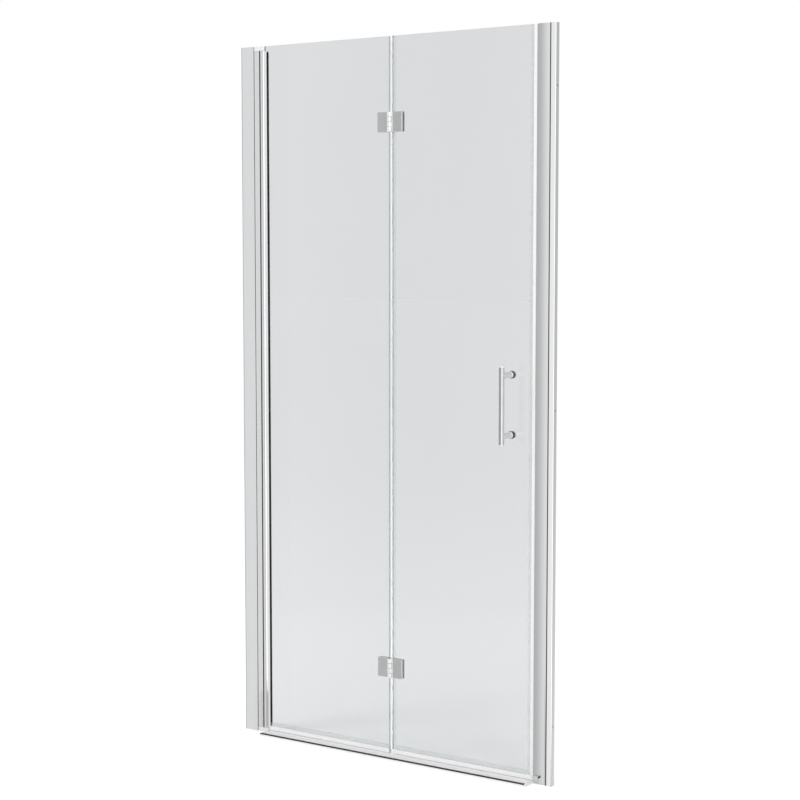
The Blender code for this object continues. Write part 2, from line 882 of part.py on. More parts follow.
def hinge_clamp(prefix, side, centre, body):
    """The inner clamp plate of one leaf and the two countersunk screws that draw it up."""
    low = centre - hinge_height / 2
    ends = sorted((folding_glass_left if side > 0 else pivot_glass_right,
                   fold_axis_x + side * hinge_reach))
    outside = glass_face + clamp_plate_thickness
    name = prefix + "_clamp_plate"
    plate = box(name, (ends[0], glass_face, low), (ends[1], outside, low + hinge_height),
                hinge_edge)
    spots = hinge_screw_spots(side, centre)
    cut(plate, rods(name + "_holes", spots, hinge_screw + fit_gap, 0, outside + cut_overrun,
                    towards_shower))
    sink = hinge_screw_head + fit_gap
    tip = glass_face + hinge_screw_bite
    for label, spot in zip(("upper", "lower"), spots):
        cone = [
            (0, outside + cut_overrun),
            (sink + cut_overrun, outside + cut_overrun),
            (hinge_screw, outside - hinge_screw_head_height - fit_gap),
            (0, outside - hinge_screw_head_height - fit_gap),
        ]
        cut(plate, turned(name + "_sink", cone, spot, towards_shower, small_round_steps))
        profile = [
            (0, outside - fit_gap),
            (hinge_screw_head - fit_gap, outside - fit_gap),
            (hinge_screw, outside - hinge_screw_head_height),
            (hinge_screw, -tip + pin_chamfer),
            (hinge_screw - pin_chamfer, -tip),
            (0, -tip),
        ]
        screw_name = prefix + "_screw_" + label
        screw = turned(screw_name, profile, spot, towards_shower, small_round_steps)
        recess = rods(screw_name + "_socket", [spot], hinge_screw_head * socket_share,
                      outside - fit_gap - socket_depth, outside + cut_overrun, towards_shower, 6)
        finish(cut(screw, recess), stainless, body)
    finish(plate, chrome, body)


def hinge_pin(name, centre, body):
    """A headed pin down the barrel, with a second head formed below."""
    half = hinge_height / 2 + fit_gap
    end = half + pin_head_height
    head = [(0, end), (pin_head * cos(pi / 4), end), (pin_head, half + pin_head_height / 2),
            (pin_head, half)]
    profile = head + [(barrel_pin, half)]
    profile += [(radius, -height) for radius, height in reversed(profile)]
    finish(turned(name, profile, (fold_axis_x, fold_axis_y, centre)), chrome, body)


def build_hinges(pivot_leaf, folding_leaf):
    for label, centre in zip(("upper", "lower"), hinge_heights):
        name = label + "_hinge"
        hinge_plate(name + "_pivot_plate", -1, centre, pivot_leaf)
        hinge_plate(name + "_folding_plate", 1, centre, folding_leaf)
        hinge_clamp(name + "_pivot", -1, centre, pivot_leaf)
        hinge_clamp(name + "_folding", 1, centre, folding_leaf)
        hinge_pin(name + "_pin", centre, pivot_leaf)


def handle_heights():
    half = handle_length / 2 - handle_post_inset
    return (handle_centre_height + half, handle_centre_height - half)


def build_handle(body):
    half = handle_length / 2
    edge = handle_bar_round
    end = [(0, half), (handle_bar_radius - edge, half), (handle_bar_radius, half - edge)]
    profile = end + [(radius, -height) for radius, height in reversed(end)]
    finish(turned("handle_bar", profile, (handle_x, handle_y, handle_centre_height)), chrome, body)
    washer_face = glass_face + handle_washer_thickness
    foot = washer_face + fit_gap
    reach = -handle_y
    for label, height in zip(("upper", "lower"), handle_heights()):
        place = (handle_x, 0, height)
        post_profile = [
            (0, -foot),
            (handle_post_flange, -foot),
            (handle_post_flange, -foot - handle_flange_thickness),
            (handle_post_radius, -foot - handle_flange_thickness),
            (handle_post_radius, -reach),
            (0, -reach),
        ]
        name = "handle_post_" + label
        post = turned(name, post_profile, place, towards_shower)
        bar_space = rods(name + "_saddle", [(handle_x, handle_y, height)],
                         handle_bar_radius + fit_gap, -handle_post_flange, handle_post_flange,
                         steps=round_steps)
        cut(post, bar_space)
        bore = rods(name + "_bore", [place], handle_stud + fit_gap,
                    -foot - handle_stud_bite, cut_overrun - foot, towards_shower)
        finish(cut(post, bore), chrome, body)
        for name, top, bottom in (("handle_washer_", -glass_face, -washer_face),
                                  ("handle_inner_washer_", washer_face, glass_face)):
            washer = [
                (handle_stud + fit_gap, top),
                (handle_post_flange, top),
                (handle_post_flange, bottom),
                (handle_stud + fit_gap, bottom),
            ]
            finish(turned(name + label, washer, place, towards_shower), black_rubber, body)
        crown = foot + handle_nut_height
        nut = [
            (0, crown),
            (handle_nut_radius * cos(pi / 4), crown - handle_nut_height * (1 - sin(pi / 4))),
            (handle_nut_radius, foot + handle_nut_height / 4),
            (handle_nut_radius, foot),
            (handle_stud, foot),
            (handle_stud, -foot - handle_stud_bite + fit_gap * 2),
            (0, -foot - handle_stud_bite + fit_gap * 2),
        ]
        finish(turned("handle_cap_nut_" + label, nut, place, towards_shower), chrome, body)


def build_pivot_leaf(body):
    bore = arc((pivot_x, 0), pivot_pin + fit_gap, 0, 2 * pi, small_round_steps)[:-1]
    finish(along_z("pivot_stile", [stile_outline(), bore], stile_end, door_height - stile_end),
           polished_aluminium, body)
    finish(stile_pin("bottom_stile_pin", 0, (0, 0, 0)), stainless, body)
    finish(stile_pin("top_stile_pin", door_height, upside_down), stainless, body)
    for side, label in ((-1, "front"), (1, "back")):
        finish(along_z("glazing_gasket_" + label, [gasket_outline(side)], gasket_bottom,
                       door_height - gasket_below_top), black_rubber, body)
    glass_leaf("pivot_glass", pivot_glass_left, pivot_glass_right, -1, body)
    seal_start = pivot_x + stile_arm_length + gasket_lip + 2 * fit_gap
    build_bottom_seal("pivot_bottom_seal", seal_start, pivot_glass_right, body)


def build_folding_leaf(body):
    stud_holes = [(handle_x, 0, height) for height in handle_heights()]
    glass_leaf("folding_glass", folding_glass_left, folding_glass_right, 1, body, stud_holes)
    build_bottom_seal("folding_bottom_seal", folding_glass_left, folding_glass_right, body)
    build_fold_seal(body)
    build_magnet_seal(body)
    build_handle(body)


clear_scene()
parts = make_collection("bifold_shower_door")
cutters = make_collection("cutters")

frame_body = make_axis("frame_origin", (0, 0, 0))
pivot_body = make_axis("pivot_axis", (pivot_x, 0, 0), frame_body)
folding_body = make_axis("fold_axis", (fold_axis_x, fold_axis_y, 0), pivot_body)

build_pivot_side(frame_body)
build_strike_side(frame_body)
build_sill(frame_body)
build_foot_pin(frame_body)
build_pivot_leaf(pivot_body)
build_folding_leaf(folding_body)
build_hinges(pivot_body, folding_body)
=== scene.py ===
import json
from math import acos, asin, cos, pi, radians, sin, sqrt

import bmesh
import bpy
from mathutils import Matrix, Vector


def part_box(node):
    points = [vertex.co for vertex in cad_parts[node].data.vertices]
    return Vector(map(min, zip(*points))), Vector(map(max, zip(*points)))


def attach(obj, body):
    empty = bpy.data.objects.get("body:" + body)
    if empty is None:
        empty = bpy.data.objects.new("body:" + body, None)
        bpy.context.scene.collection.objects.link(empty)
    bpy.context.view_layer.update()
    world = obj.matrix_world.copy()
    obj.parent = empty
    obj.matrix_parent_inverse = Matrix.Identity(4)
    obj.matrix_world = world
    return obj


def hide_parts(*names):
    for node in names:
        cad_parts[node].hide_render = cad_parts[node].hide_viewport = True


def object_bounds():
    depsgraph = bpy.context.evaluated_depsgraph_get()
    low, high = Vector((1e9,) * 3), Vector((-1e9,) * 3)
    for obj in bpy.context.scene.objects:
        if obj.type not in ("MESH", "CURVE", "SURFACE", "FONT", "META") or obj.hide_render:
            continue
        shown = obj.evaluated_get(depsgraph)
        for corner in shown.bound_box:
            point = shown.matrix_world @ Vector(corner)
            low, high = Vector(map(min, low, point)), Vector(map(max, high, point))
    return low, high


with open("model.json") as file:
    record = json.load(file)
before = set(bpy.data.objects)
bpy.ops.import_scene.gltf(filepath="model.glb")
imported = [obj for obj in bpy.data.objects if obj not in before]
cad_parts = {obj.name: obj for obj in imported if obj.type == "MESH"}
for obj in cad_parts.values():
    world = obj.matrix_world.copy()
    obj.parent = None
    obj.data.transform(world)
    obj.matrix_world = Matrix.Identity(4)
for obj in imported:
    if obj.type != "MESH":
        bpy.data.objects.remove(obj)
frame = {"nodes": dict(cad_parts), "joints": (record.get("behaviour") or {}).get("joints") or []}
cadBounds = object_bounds()
scene = bpy.context.scene
jointPlace = {joint["name"]: Vector(joint["pos_m"]) for joint in frame["joints"]}
pivotX = jointPlace["pivot"].x
foldX, foldY = jointPlace["fold"].x, jointPlace["fold"].y
print("frame loaded:", len(frame["nodes"]), "CAD nodes")

# Camera: eye level, to the right of the door, looking at it from the room side
cameraView = {
    "place": (2.666, -3.857, 1.340),
    "turn": (85.293, 0.0, 34.37),  # degrees
    "lens": 80.4,                  # mm, on a sensor 36 mm wide
    "sensor": 36.0,
}
cameraData = bpy.data.cameras.new("camera")
cameraData.lens = cameraView["lens"]
cameraData.sensor_width = cameraView["sensor"]
camera = bpy.data.objects.new("camera", cameraData)
camera.location = cameraView["place"]
camera.rotation_euler = [radians(angle) for angle in cameraView["turn"]]
scene.collection.objects.link(camera)
scene.camera = camera
scene.view_settings.view_transform = "Standard"


# Linear colour of an sRGB hex value
def hexColour(text):
    parts = [int(text[place:place + 2], 16) / 255 for place in (1, 3, 5)]
    linear = [part / 12.92 if part <= 0.04045 else ((part + 0.055) / 1.055) ** 2.4 for part in parts]
    return linear + [1.0]


# Adds one node, with its settings and its links, each by a name or a socket's number
def addNode(tree, kind, settings=None, links=None):
    node = tree.nodes.new("ShaderNode" + kind)
    for name, value in (settings or {}).items():
        if isinstance(name, int) or name in node.inputs:
            node.inputs[name].default_value = value
        else:
            setattr(node, name, value)
    for name, source in (links or {}).items():
        tree.links.new(source, node.inputs[name])
    return node


millimetres = 1000.0  # in a metre


# How often a pattern repeats in a metre, from its size in millimetres
def perMetre(size):
    return millimetres / size


# A material with a Principled shader and its settings; hex values become colours
def newMaterial(name, settings):
    material = bpy.data.materials.new(name)
    material.use_nodes = True
    tree = material.node_tree
    shader = tree.nodes["Principled BSDF"]
    for socket, value in settings.items():
        shader.inputs[socket].default_value = hexColour(value) if isinstance(value, str) else value
    return material, tree, shader


# The place in the object's own mesh; a piece's is also its place in the frame
def whereIn(tree):
    return addNode(tree, "TexCoord").outputs["Object"]


# Drives a shader's colour from a grey pattern, between two near tones
def mixTones(tree, shader, pattern, light, dark):
    colours = addNode(tree, "Mix", {"data_type": "RGBA", 6: hexColour(dark), 7: hexColour(light)},
                      {0: pattern})
    tree.links.new(colours.outputs[2], shader.inputs["Base Color"])


# Modelling helpers. Everything is deselected first, because the CAD nodes come in selected
axes = {"X": Vector((1, 0, 0)), "Y": Vector((0, 1, 0)), "Z": Vector((0, 0, 1))}
spokes = {"X": Vector((0, 1, 0)), "Y": Vector((1, 0, 0)), "Z": Vector((1, 0, 0))}
lying = {"X": (0, pi / 2, 0), "Y": (pi / 2, 0, 0), "Z": (0, 0, 0)}
tiny = 0.00001
overrun = 0.01   # of cutters that go right through
gap = 0.0003     # between pieces that touch
mostly = 0.9     # share from which an edge or a normal counts as along an axis
upright = 0.5    # share under which a face counts as upright
sides = {"hexagon": 6, "screw": 32, "hole": 40, "nut": 48, "post": 64, "tube": 72}
steps = {"barDome": 5, "smallDome": 6, "nutDome": 10, "bow": 20, "cradle": 20, "nose": 40, "barrel": 40}


def near(first, second):
    return abs(first - second) < tiny


def isUpright(normal):
    return abs(normal.z) < upright


# How far a point is from an upright axis
def fromAxis(point, x, y):
    return (point.xy - Vector((x, y))).length


def deselectAll():
    if bpy.context.object and bpy.context.object.mode != "OBJECT":
        bpy.ops.object.mode_set(mode="OBJECT")
    bpy.ops.object.select_all(action="DESELECT")


def onlyThis(piece):
    deselectAll()
    piece.select_set(True)
    bpy.context.view_layer.objects.active = piece


def editThis(piece):
    onlyThis(piece)
    bpy.ops.object.mode_set(mode="EDIT")


# Selects the edges or faces of the piece in edit mode whose middle, and way or normal, pass a test
def choose(kind, test):
    bpy.ops.mesh.select_mode(type=kind)
    bpy.ops.mesh.select_all(action="DESELECT")
    mesh = bpy.context.object.data
    shape = bmesh.from_edit_mesh(mesh)
    if kind == "EDGE":
        for edge in shape.edges:
            start, end = edge.verts[0].co, edge.verts[1].co
            if test((start + end) / 2, (end - start).normalized()):
                edge.select_set(True)
    else:
        for face in shape.faces:
            if test(face.calc_center_median(), face.normal):
                face.select_set(True)
    bmesh.update_edit_mesh(mesh)


def selectAll():
    bpy.ops.mesh.select_all(action="SELECT")


# Bevels by hand the edges that run along an axis and whose middle passes a test
def bevelAlong(axis, width, segments, test):
    choose("EDGE", lambda middle, way: abs(way.dot(axes[axis])) > mostly and test(middle))
    bpy.ops.mesh.bevel(offset=width, segments=segments, affect="EDGES")


def bevelAll(width, segments):
    selectAll()
    bpy.ops.mesh.bevel(offset=width, segments=segments, affect="EDGES")


# Splits the faces that cross a plane square to an axis
def splitFaces(piece, place, axis):
    editThis(piece)
    selectAll()
    bpy.ops.mesh.bisect(plane_co=place, plane_no=axes[axis])


# Draws a line as by hand: one vertex, extruded from point to point
def drawLine(node, points):
    deselectAll()
    bpy.ops.mesh.primitive_plane_add(size=0.001, location=points[0])
    piece = bpy.context.object
    piece.name = piece.data.name = node + "_dressed"
    bpy.ops.object.transform_apply(location=True, rotation=False, scale=False)
    bpy.ops.object.mode_set(mode="EDIT")
    bpy.ops.mesh.select_mode(type="VERT")
    selectAll()
    bpy.ops.mesh.merge(type="CENTER")
    for start, end in zip(points, points[1:]):
        bpy.ops.mesh.extrude_vertices_move(TRANSFORM_OT_translate={"value": end - start})
    selectAll()
    return piece


# An outline, filled and pulled out along an axis; it stays in edit mode
def pullOutline(node, outline, axis, low, high):
    spots = {"X": lambda a, b: (low, a, b), "Y": lambda a, b: (a, low, b), "Z": lambda a, b: (a, b, low)}
    piece = drawLine(node, [Vector(spots[axis](across, along)) for across, along in outline])
    bpy.ops.mesh.edge_face_add()
    bpy.ops.mesh.extrude_region_move(TRANSFORM_OT_translate={"value": axes[axis] * (high - low)})
    selectAll()
    bpy.ops.mesh.normals_make_consistent(inside=False)
    return piece


# A profile of (radius, distance) points, spun round an axis; it stays in edit mode
def spinProfile(node, profile, centre, axis, count):
    centre = Vector(centre)
    piece = drawLine(node, [centre + spokes[axis] * radius + axes[axis] * along
                            for radius, along in profile])
    bpy.ops.mesh.spin(steps=count, angle=2 * pi, center=centre, axis=axes[axis])
    selectAll()
    bpy.ops.mesh.remove_doubles(threshold=tiny)
    bpy.ops.mesh.normals_make_consistent(inside=False)
    return piece


# A block between two corners; it stays in edit mode, ready for its edges
def startBlock(node, low, high):
    low, high = Vector(low), Vector(high)
    deselectAll()
    bpy.ops.mesh.primitive_cube_add(size=1, location=(low + high) / 2, scale=high - low)
    piece = bpy.context.object
    piece.name = piece.data.name = node + "_dressed"
    bpy.ops.object.transform_apply(location=True, rotation=False, scale=True)
    bpy.ops.object.mode_set(mode="EDIT")
    return piece


# Rods side by side along an axis, joined into one cutter
def makeRods(places, radius, axis, low, high, count, tip):
    rods = []
    for place in places:
        deselectAll()
        middle = Vector(place) + axes[axis] * (low + high) / 2
        bpy.ops.mesh.primitive_cone_add(vertices=count, radius1=radius, depth=high - low,
                                        radius2=radius if tip is None else tip,
                                        location=middle, rotation=lying[axis])
        bpy.ops.object.transform_apply()
        rods.append(bpy.context.object)
    deselectAll()
    for rod in rods:
        rod.select_set(True)
    bpy.context.view_layer.objects.active = rods[0]
    if len(rods) > 1:
        bpy.ops.object.join()
    return rods[0]


# A modifier, set and applied at once
def applyModifier(piece, kind, settings):
    onlyThis(piece)
    modifier = piece.modifiers.new(kind.lower(), kind)
    for name, value in settings.items():
        setattr(modifier, name, value)
    bpy.ops.object.modifier_apply(modifier=modifier.name)


def combine(piece, other, operation):
    deselectAll()
    applyModifier(piece, "BOOLEAN", {"operation": operation, "solver": "EXACT", "object": other})
    bpy.data.objects.remove(other)


# Round or hexagonal holes, straight or running to a smaller tip
def drill(piece, places, radius, axis, low, high, count=sides["screw"], tip=None):
    combine(piece, makeRods(places, radius, axis, low, high, count, tip), "DIFFERENCE")


def cutBlock(piece, low, high):
    combine(piece, startBlock("cut", low, high), "DIFFERENCE")


def softenEdges(piece, width, segments=2, angle=40):
    applyModifier(piece, "BEVEL", {"width": width, "segments": segments, "limit_method": "ANGLE",
                                   "angle_limit": radians(angle)})


# A second piece like the first, with its own mesh, moved to another place
def copyPiece(piece, name, move):
    onlyThis(piece)
    bpy.ops.object.duplicate(linked=False)
    bpy.ops.transform.translate(value=move)
    bpy.ops.object.transform_apply(location=True, rotation=False, scale=False)
    copy = bpy.context.object
    copy.name = copy.data.name = name
    return copy


# Closes the slits that a cut or a union may leave
def closeSlits(piece):
    editThis(piece)
    selectAll()
    bpy.ops.mesh.remove_doubles(threshold=2 * tiny)


smoothAngle = 35  # degrees


# Gives a finished piece its finish and its place on the model
def dress(piece, finish, body, slotName, *nodes):
    closeSlits(piece)
    onlyThis(piece)
    bpy.ops.object.shade_smooth_by_angle(angle=radians(smoothAngle))
    applyModifier(piece, "WEIGHTED_NORMAL", {"keep_sharp": True})  # flat faces stay flat beside a bevel
    if not piece.data.materials:
        piece.data.materials.append(finishes[finish])
    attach(piece, body)
    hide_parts(*nodes)
    return piece


# Dresses a piece under the first of some nodes, and a copy of it under each of the others
def dressSet(piece, finish, body, slotName, nodes):
    home = boxMiddle(nodes[0])
    copies = [copyPiece(piece, node + "_dressed", boxMiddle(node) - home) for node in nodes[1:]]
    for each, node in zip([piece] + copies, nodes):
        dress(each, finish, body, slotName, node)


# Two finishes on one piece: the second one on the faces that pass a test
def twoFinishes(piece, main, other, test):
    for finish in (main, other):
        piece.data.materials.append(finishes[finish])
    editThis(piece)
    choose("FACE", test)
    piece.active_material_index = 1
    bpy.ops.object.material_slot_assign()


# Points on a circle from one angle to another, both included
def arcPoints(centre, radius, start, end, count):
    angles = [start + (end - start) * step / count for step in range(count + 1)]
    return [(centre[0] + radius * cos(angle), centre[1] + radius * sin(angle)) for angle in angles]


# A quarter circle from the top of a dome to its rim, as shares of its radius and its rise
def domeShares(count):
    return [(sin(pi / 2 * step / count), cos(pi / 2 * step / count)) for step in range(count + 1)]


def mirrored(outline):
    return [(across, -along) for across, along in reversed(outline)]


def boxMiddle(node):
    low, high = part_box(node)
    return (low + high) / 2


# World: white to the eye, in metal and through glass, and softer as light on matt surfaces
worldLight = {"seen": 1.0, "shed": 0.72}


def lightWorld():
    world = bpy.data.worlds.new("white studio")
    world.use_nodes = True
    scene.world = world
    tree = world.node_tree
    tree.nodes.clear()
    rays = addNode(tree, "LightPath").outputs
    seen = addNode(tree, "Math", {"operation": "MAXIMUM"},
                   {0: rays["Is Camera Ray"], 1: rays["Is Glossy Ray"]})
    bright = addNode(tree, "Math", {"operation": "MAXIMUM"},
                     {0: seen.outputs[0], 1: rays["Is Transmission Ray"]})
    white = (1.0, 1.0, 1.0, 1.0)
    shed = addNode(tree, "Background", {"Color": white, "Strength": worldLight["shed"]})
    plain = addNode(tree, "Background", {"Color": white, "Strength": worldLight["seen"]})
    both = addNode(tree, "MixShader", links={0: bright.outputs[0], 1: shed.outputs[0], 2: plain.outputs[0]})
    addNode(tree, "OutputWorld", links={"Surface": both.outputs[0]})


# Floor: matt white that glows a little to the eye, so that it is white and still takes a shadow
floorLook = {"size": 80.0, "under": 0.0003, "colour": "#F2F2F2", "rough": 0.9, "glow": 0.34}


def layFloor():
    deselectAll()
    bpy.ops.mesh.primitive_plane_add(size=floorLook["size"], location=(0, 0, -floorLook["under"]))
    floor = bpy.context.object
    floor.name = "studio_floor"
    material, tree, shader = newMaterial("matt white floor", {
        "Roughness": floorLook["rough"], "Base Color": floorLook["colour"], "Emission Color": "#FFFFFF"})
    rays = addNode(tree, "LightPath").outputs
    seen = addNode(tree, "Math", {"operation": "MAXIMUM"},
                   {0: rays["Is Camera Ray"], 1: rays["Is Transmission Ray"]})
    glow = addNode(tree, "Math", {"operation": "MULTIPLY", 1: floorLook["glow"]}, {0: seen.outputs[0]})
    tree.links.new(glow.outputs[0], shader.inputs["Emission Strength"])
    floor.data.materials.append(material)
    floor.visible_glossy = False  # metal mirrors the white world there instead


# Soft boxes: place, what they face, size and power in watts
lamps = {
    "key_softbox": ((-2.6, -3.2, 3.0), (0, 0, 0.9), (1.6, 1.6), 46),
    "fill_softbox": ((3.4, -2.4, 2.2), (0, 0, 0.9), (1.4, 1.8), 27),
}


def turnTo(place, aim, face):
    return (Vector(aim) - Vector(place)).to_track_quat(face, "Y").to_euler()


def hangLamp(name, place, aim, size, power):
    light = bpy.data.lights.new(name, "AREA")
    light.shape = "RECTANGLE"
    light.size, light.size_y = size
    light.energy = power
    holder = bpy.data.objects.new(name, light)
    holder.location = place
    holder.rotation_euler = turnTo(place, aim, "-Z")
    holder.visible_glossy = holder.visible_transmission = False  # metal and glass see the cards instead
    scene.collection.objects.link(holder)


# Cards that only the metal and the glass mirror: grey ones darken a side, bright ones give a line of light.
# Each row has place, aim, size, level and fades: the shares of the half width and the half height over
# which the card melts into the white around it
cards = {
    "grey_card_front": ((-0.55, -1.0, 0.6), (-0.55, 0, 0.6), (1.4, 3.6), 0.56, (0.9, 0.1)),
    "grey_card_middle": ((0.22, -1.2, 0.6), (0.22, 0, 0.6), (0.5, 3.6), 0.46, (0.3, 0.1)),
    "bright_card_right": ((2.3, -1.95, 1.14), (0, 0, 1.14), (2.6, 3.66), 1.8, (0.1, 0.02)),
    "grey_card_low_front": ((0.16, -3.3, -1.50), (-0.42, 0, -1.50), (2.7, 1.6), 0.44, (0.05, 0.05)),
    "grey_card_low_right": ((2.29, -1.97, -1.50), (-0.42, 0, -1.50), (2.7, 1.6), 0.40, (0.02, 0.05)),
    "grey_card_low_back": ((2.89, 0.47, -1.50), (-0.42, 0, -1.50), (2.7, 1.6), 0.48, (0.05, 0.05)),
    "dark_card_left": ((-1.6, -1.03, 0.9), (0, -1.03, 0.9), (0.5, 3.6), 0.32, (0.2, 0.1)),
    "grey_card_left": ((-1.6, 0.35, 0.9), (0, 0.35, 0.9), (2.3, 3.6), 0.72, (0.1, 0.1)),
    "grey_card_back": ((1.0, 1.2, 2.3), (0.3, 0, 2.3), (1.5, 12.0), 0.50, (0.3, 0.9)),
    "bright_card_back": ((-1.1, 1.6, 0.56), (-0.3, 0, 0), (2.2, 0.7), 1.4, (0.1, 0.1)),
    "pale_card_stile": ((-1.625, -1.56, 0.8), (-1.625, 0, 0.8), (0.16, 3.0), 0.80, (0.3, 0.1)),
    "grey_card_low_arm": ((-0.642, -0.279, -0.04), (-0.642, 0, -0.04), (0.024, 0.145), 0.42, (0.2, 0.1)),
}


def standCard(name, place, aim, size, level, fades):
    deselectAll()
    bpy.ops.mesh.primitive_plane_add(size=2, location=place, rotation=turnTo(place, aim, "Z"))
    sheet = bpy.context.object
    sheet.name = name
    sheet.scale = (size[0] / 2, size[1] / 2, 1)
    material, tree, shader = newMaterial(name.replace("_", " "), {})
    tree.nodes.remove(shader)
    parts = addNode(tree, "SeparateXYZ", links={0: whereIn(tree)}).outputs
    shares = []
    for part, fade in zip((parts["X"], parts["Y"]), fades):
        side = addNode(tree, "Math", {"operation": "ABSOLUTE"}, {0: part})
        shares.append(addNode(tree, "MapRange",
                              {"interpolation_type": "SMOOTHSTEP", "From Min": 1.0, "From Max": 1.0 - fade},
                              {"Value": side.outputs[0]}).outputs["Result"])
    share = addNode(tree, "Math", {"operation": "MULTIPLY"}, {0: shares[0], 1: shares[1]})
    clear = addNode(tree, "BsdfTransparent")
    shine = addNode(tree, "Emission", {"Strength": level})
    both = addNode(tree, "MixShader", links={0: share.outputs[0], 1: clear.outputs[0], 2: shine.outputs[0]})
    tree.links.new(both.outputs[0], tree.nodes["Material Output"].inputs["Surface"])
    sheet.data.materials.append(material)
    sheet.visible_camera = sheet.visible_diffuse = sheet.visible_shadow = False
    sheet.visible_transmission = sheet.visible_volume_scatter = False


lightWorld()
layFloor()
for name, lamp in lamps.items():
    hangLamp(name, *lamp)
for name, card in cards.items():
    standCard(name, *card)
print("studio ready")


# Solid materials. Each row has the name, two near tones, the least and most roughness, the size of the
# grain in mm along X, Y and Z, the relief in mm, its strength, and a metallic value where it has its own.
# Lines and smears are stretched noise
metalLooks = {
    # Bright dipped and clear anodised aluminium: a soft mirror with faint lines of the extrusion die
    "aluminium": (
        "bright anodised aluminium", "#E6E7E8", "#E0E1E2", (0.10, 0.16), (0.7, 0.7, 160.0), 0.001, 0.05),
    # The same aluminium, lighter and a little glossier: painted light on the profile at the strike's wall,
    # where the light falls more brightly
    "paintedLightAluminium": (
        "buffed anodised aluminium", "#FBFBFC", "#F6F7F8", (0.08, 0.13), (0.7, 0.7, 160.0), 0.001, 0.05),
    # Polished to a full mirror for the round stile, whose highlights have sharp ends
    "polishedAluminium": (
        "mirror polished aluminium", "#FBFBFC", "#F7F8F9", (0.03, 0.05), (0.7, 0.7, 160.0), 0.001, 0.03),
    # Bead blasted and anodised nearly white, for the sill that lies on the floor; drawn along X
    "sillAluminium": (
        "satin anodised aluminium", "#FDFDFD", "#F8F8F9", (0.38, 0.46), (160.0, 0.7, 0.7), 0.002, 0.08, 0.1),
    # Painted shade: dark and rough, on faces in the cradle, the gaps and the recesses, where shade and dark
    # reflections fall
    "dullAluminium": (
        "dull aluminium in the cradle", "#5C5C5C", "#484848", (0.55, 0.70), (0.7, 0.7, 40.0), 0.002, 0.1),
    # Polished brass under bright chrome: a cold mirror, with wiping smears that only its gloss shows
    "chrome": (
        "bright chrome on brass", "#C4C5C7", "#BCBDBF", (0.03, 0.07), (24.0, 24.0, 24.0), 0.002, 0.04),
    # Cast zinc hinge plates under bright chrome: a little softer, with the casting's slight waves
    "castChrome": (
        "bright chrome on zinc", "#E3E4E5", "#DDDEDF", (0.09, 0.15), (9.0, 9.0, 9.0), 0.004, 0.06),
    # Knuckles that are glass blasted before they are plated, so that they scatter what they mirror; the same
    # lighter finish is painted highlight on the hinge plate beside the knuckles, on the bar's rounded ends
    # and on the posts' flanges
    "satinChrome": (
        "satin chrome", "#FBFBFB", "#F4F4F4", (0.34, 0.44), (0.6, 0.6, 0.6), 0.004, 0.12, 0.35),
    # Stainless steel screws, turned and tumbled: greyer, with fine scratches
    "stainless": (
        "tumbled stainless steel", "#C6C6C5", "#B4B4B4", (0.20, 0.34), (0.35, 0.35, 1.6), 0.004, 0.15),
}


# Plastics, rubber and the like: a fine moulded or extruded grain and slow clouds of tone
softLooks = {
    # EPDM glazing rubber, extruded: black, matt, with a dusty bloom; the same black is painted shade and
    # dark reflection along the sill's rounded front
    "rubber": ("black EPDM rubber", "#262626", "#141414", (0.50, 0.68), (0.9, 0.9, 14.0), 0.02, 0.35),
    # Moulded nylon bushes: off-white and waxy
    "nylon": ("white nylon", "#ECEBE7", "#E2E1DC", (0.38, 0.50), (0.8, 0.8, 0.8), 0.01, 0.2),
    # Moulded caps at the sill's ends: white, with a fine spark eroded texture
    "whiteCap": ("white moulded cap", "#FAFAFA", "#F4F4F4", (0.34, 0.44), (0.5, 0.5, 0.5), 0.01, 0.2),
    # Moulded ABS end caps: light grey with a fine spark eroded texture
    "greyPlastic": ("light grey ABS", "#D9DADC", "#CFD0D2", (0.36, 0.48), (0.5, 0.5, 0.5), 0.02, 0.3),
    # White PVC of the magnetic seal, extruded: smooth, faintly glossy
    "whitePvc": ("white flexible PVC", "#FCFCFC", "#F6F6F7", (0.24, 0.34), (1.2, 1.2, 60.0), 0.01, 0.15),
    # The same PVC in the seals under the panes, extruded along X
    "whiteSealPvc": (
        "white flexible PVC, bottom seals", "#FCFCFC", "#F6F6F7", (0.24, 0.34), (60.0, 1.2, 1.2),
        0.01, 0.15),
    # Ferrite bound in rubber: near black and dull
    "ferrite": ("bonded ferrite magnet", "#3A3836", "#2A2928", (0.60, 0.75), (0.4, 0.4, 0.4), 0.02, 0.3),
}


# The noise of both tables: detail, roughness, the least and most that count, clouds in mm, and how metallic
# the rows are
metalGrain = {"detail": 4.0, "rough": 0.6, "least": 0.3, "most": 0.7, "metallic": 1.0}
softGrain = {"detail": 6.0, "rough": 0.65, "least": 0.7, "most": 1.3, "metallic": 0.0, "clouds": 60.0}


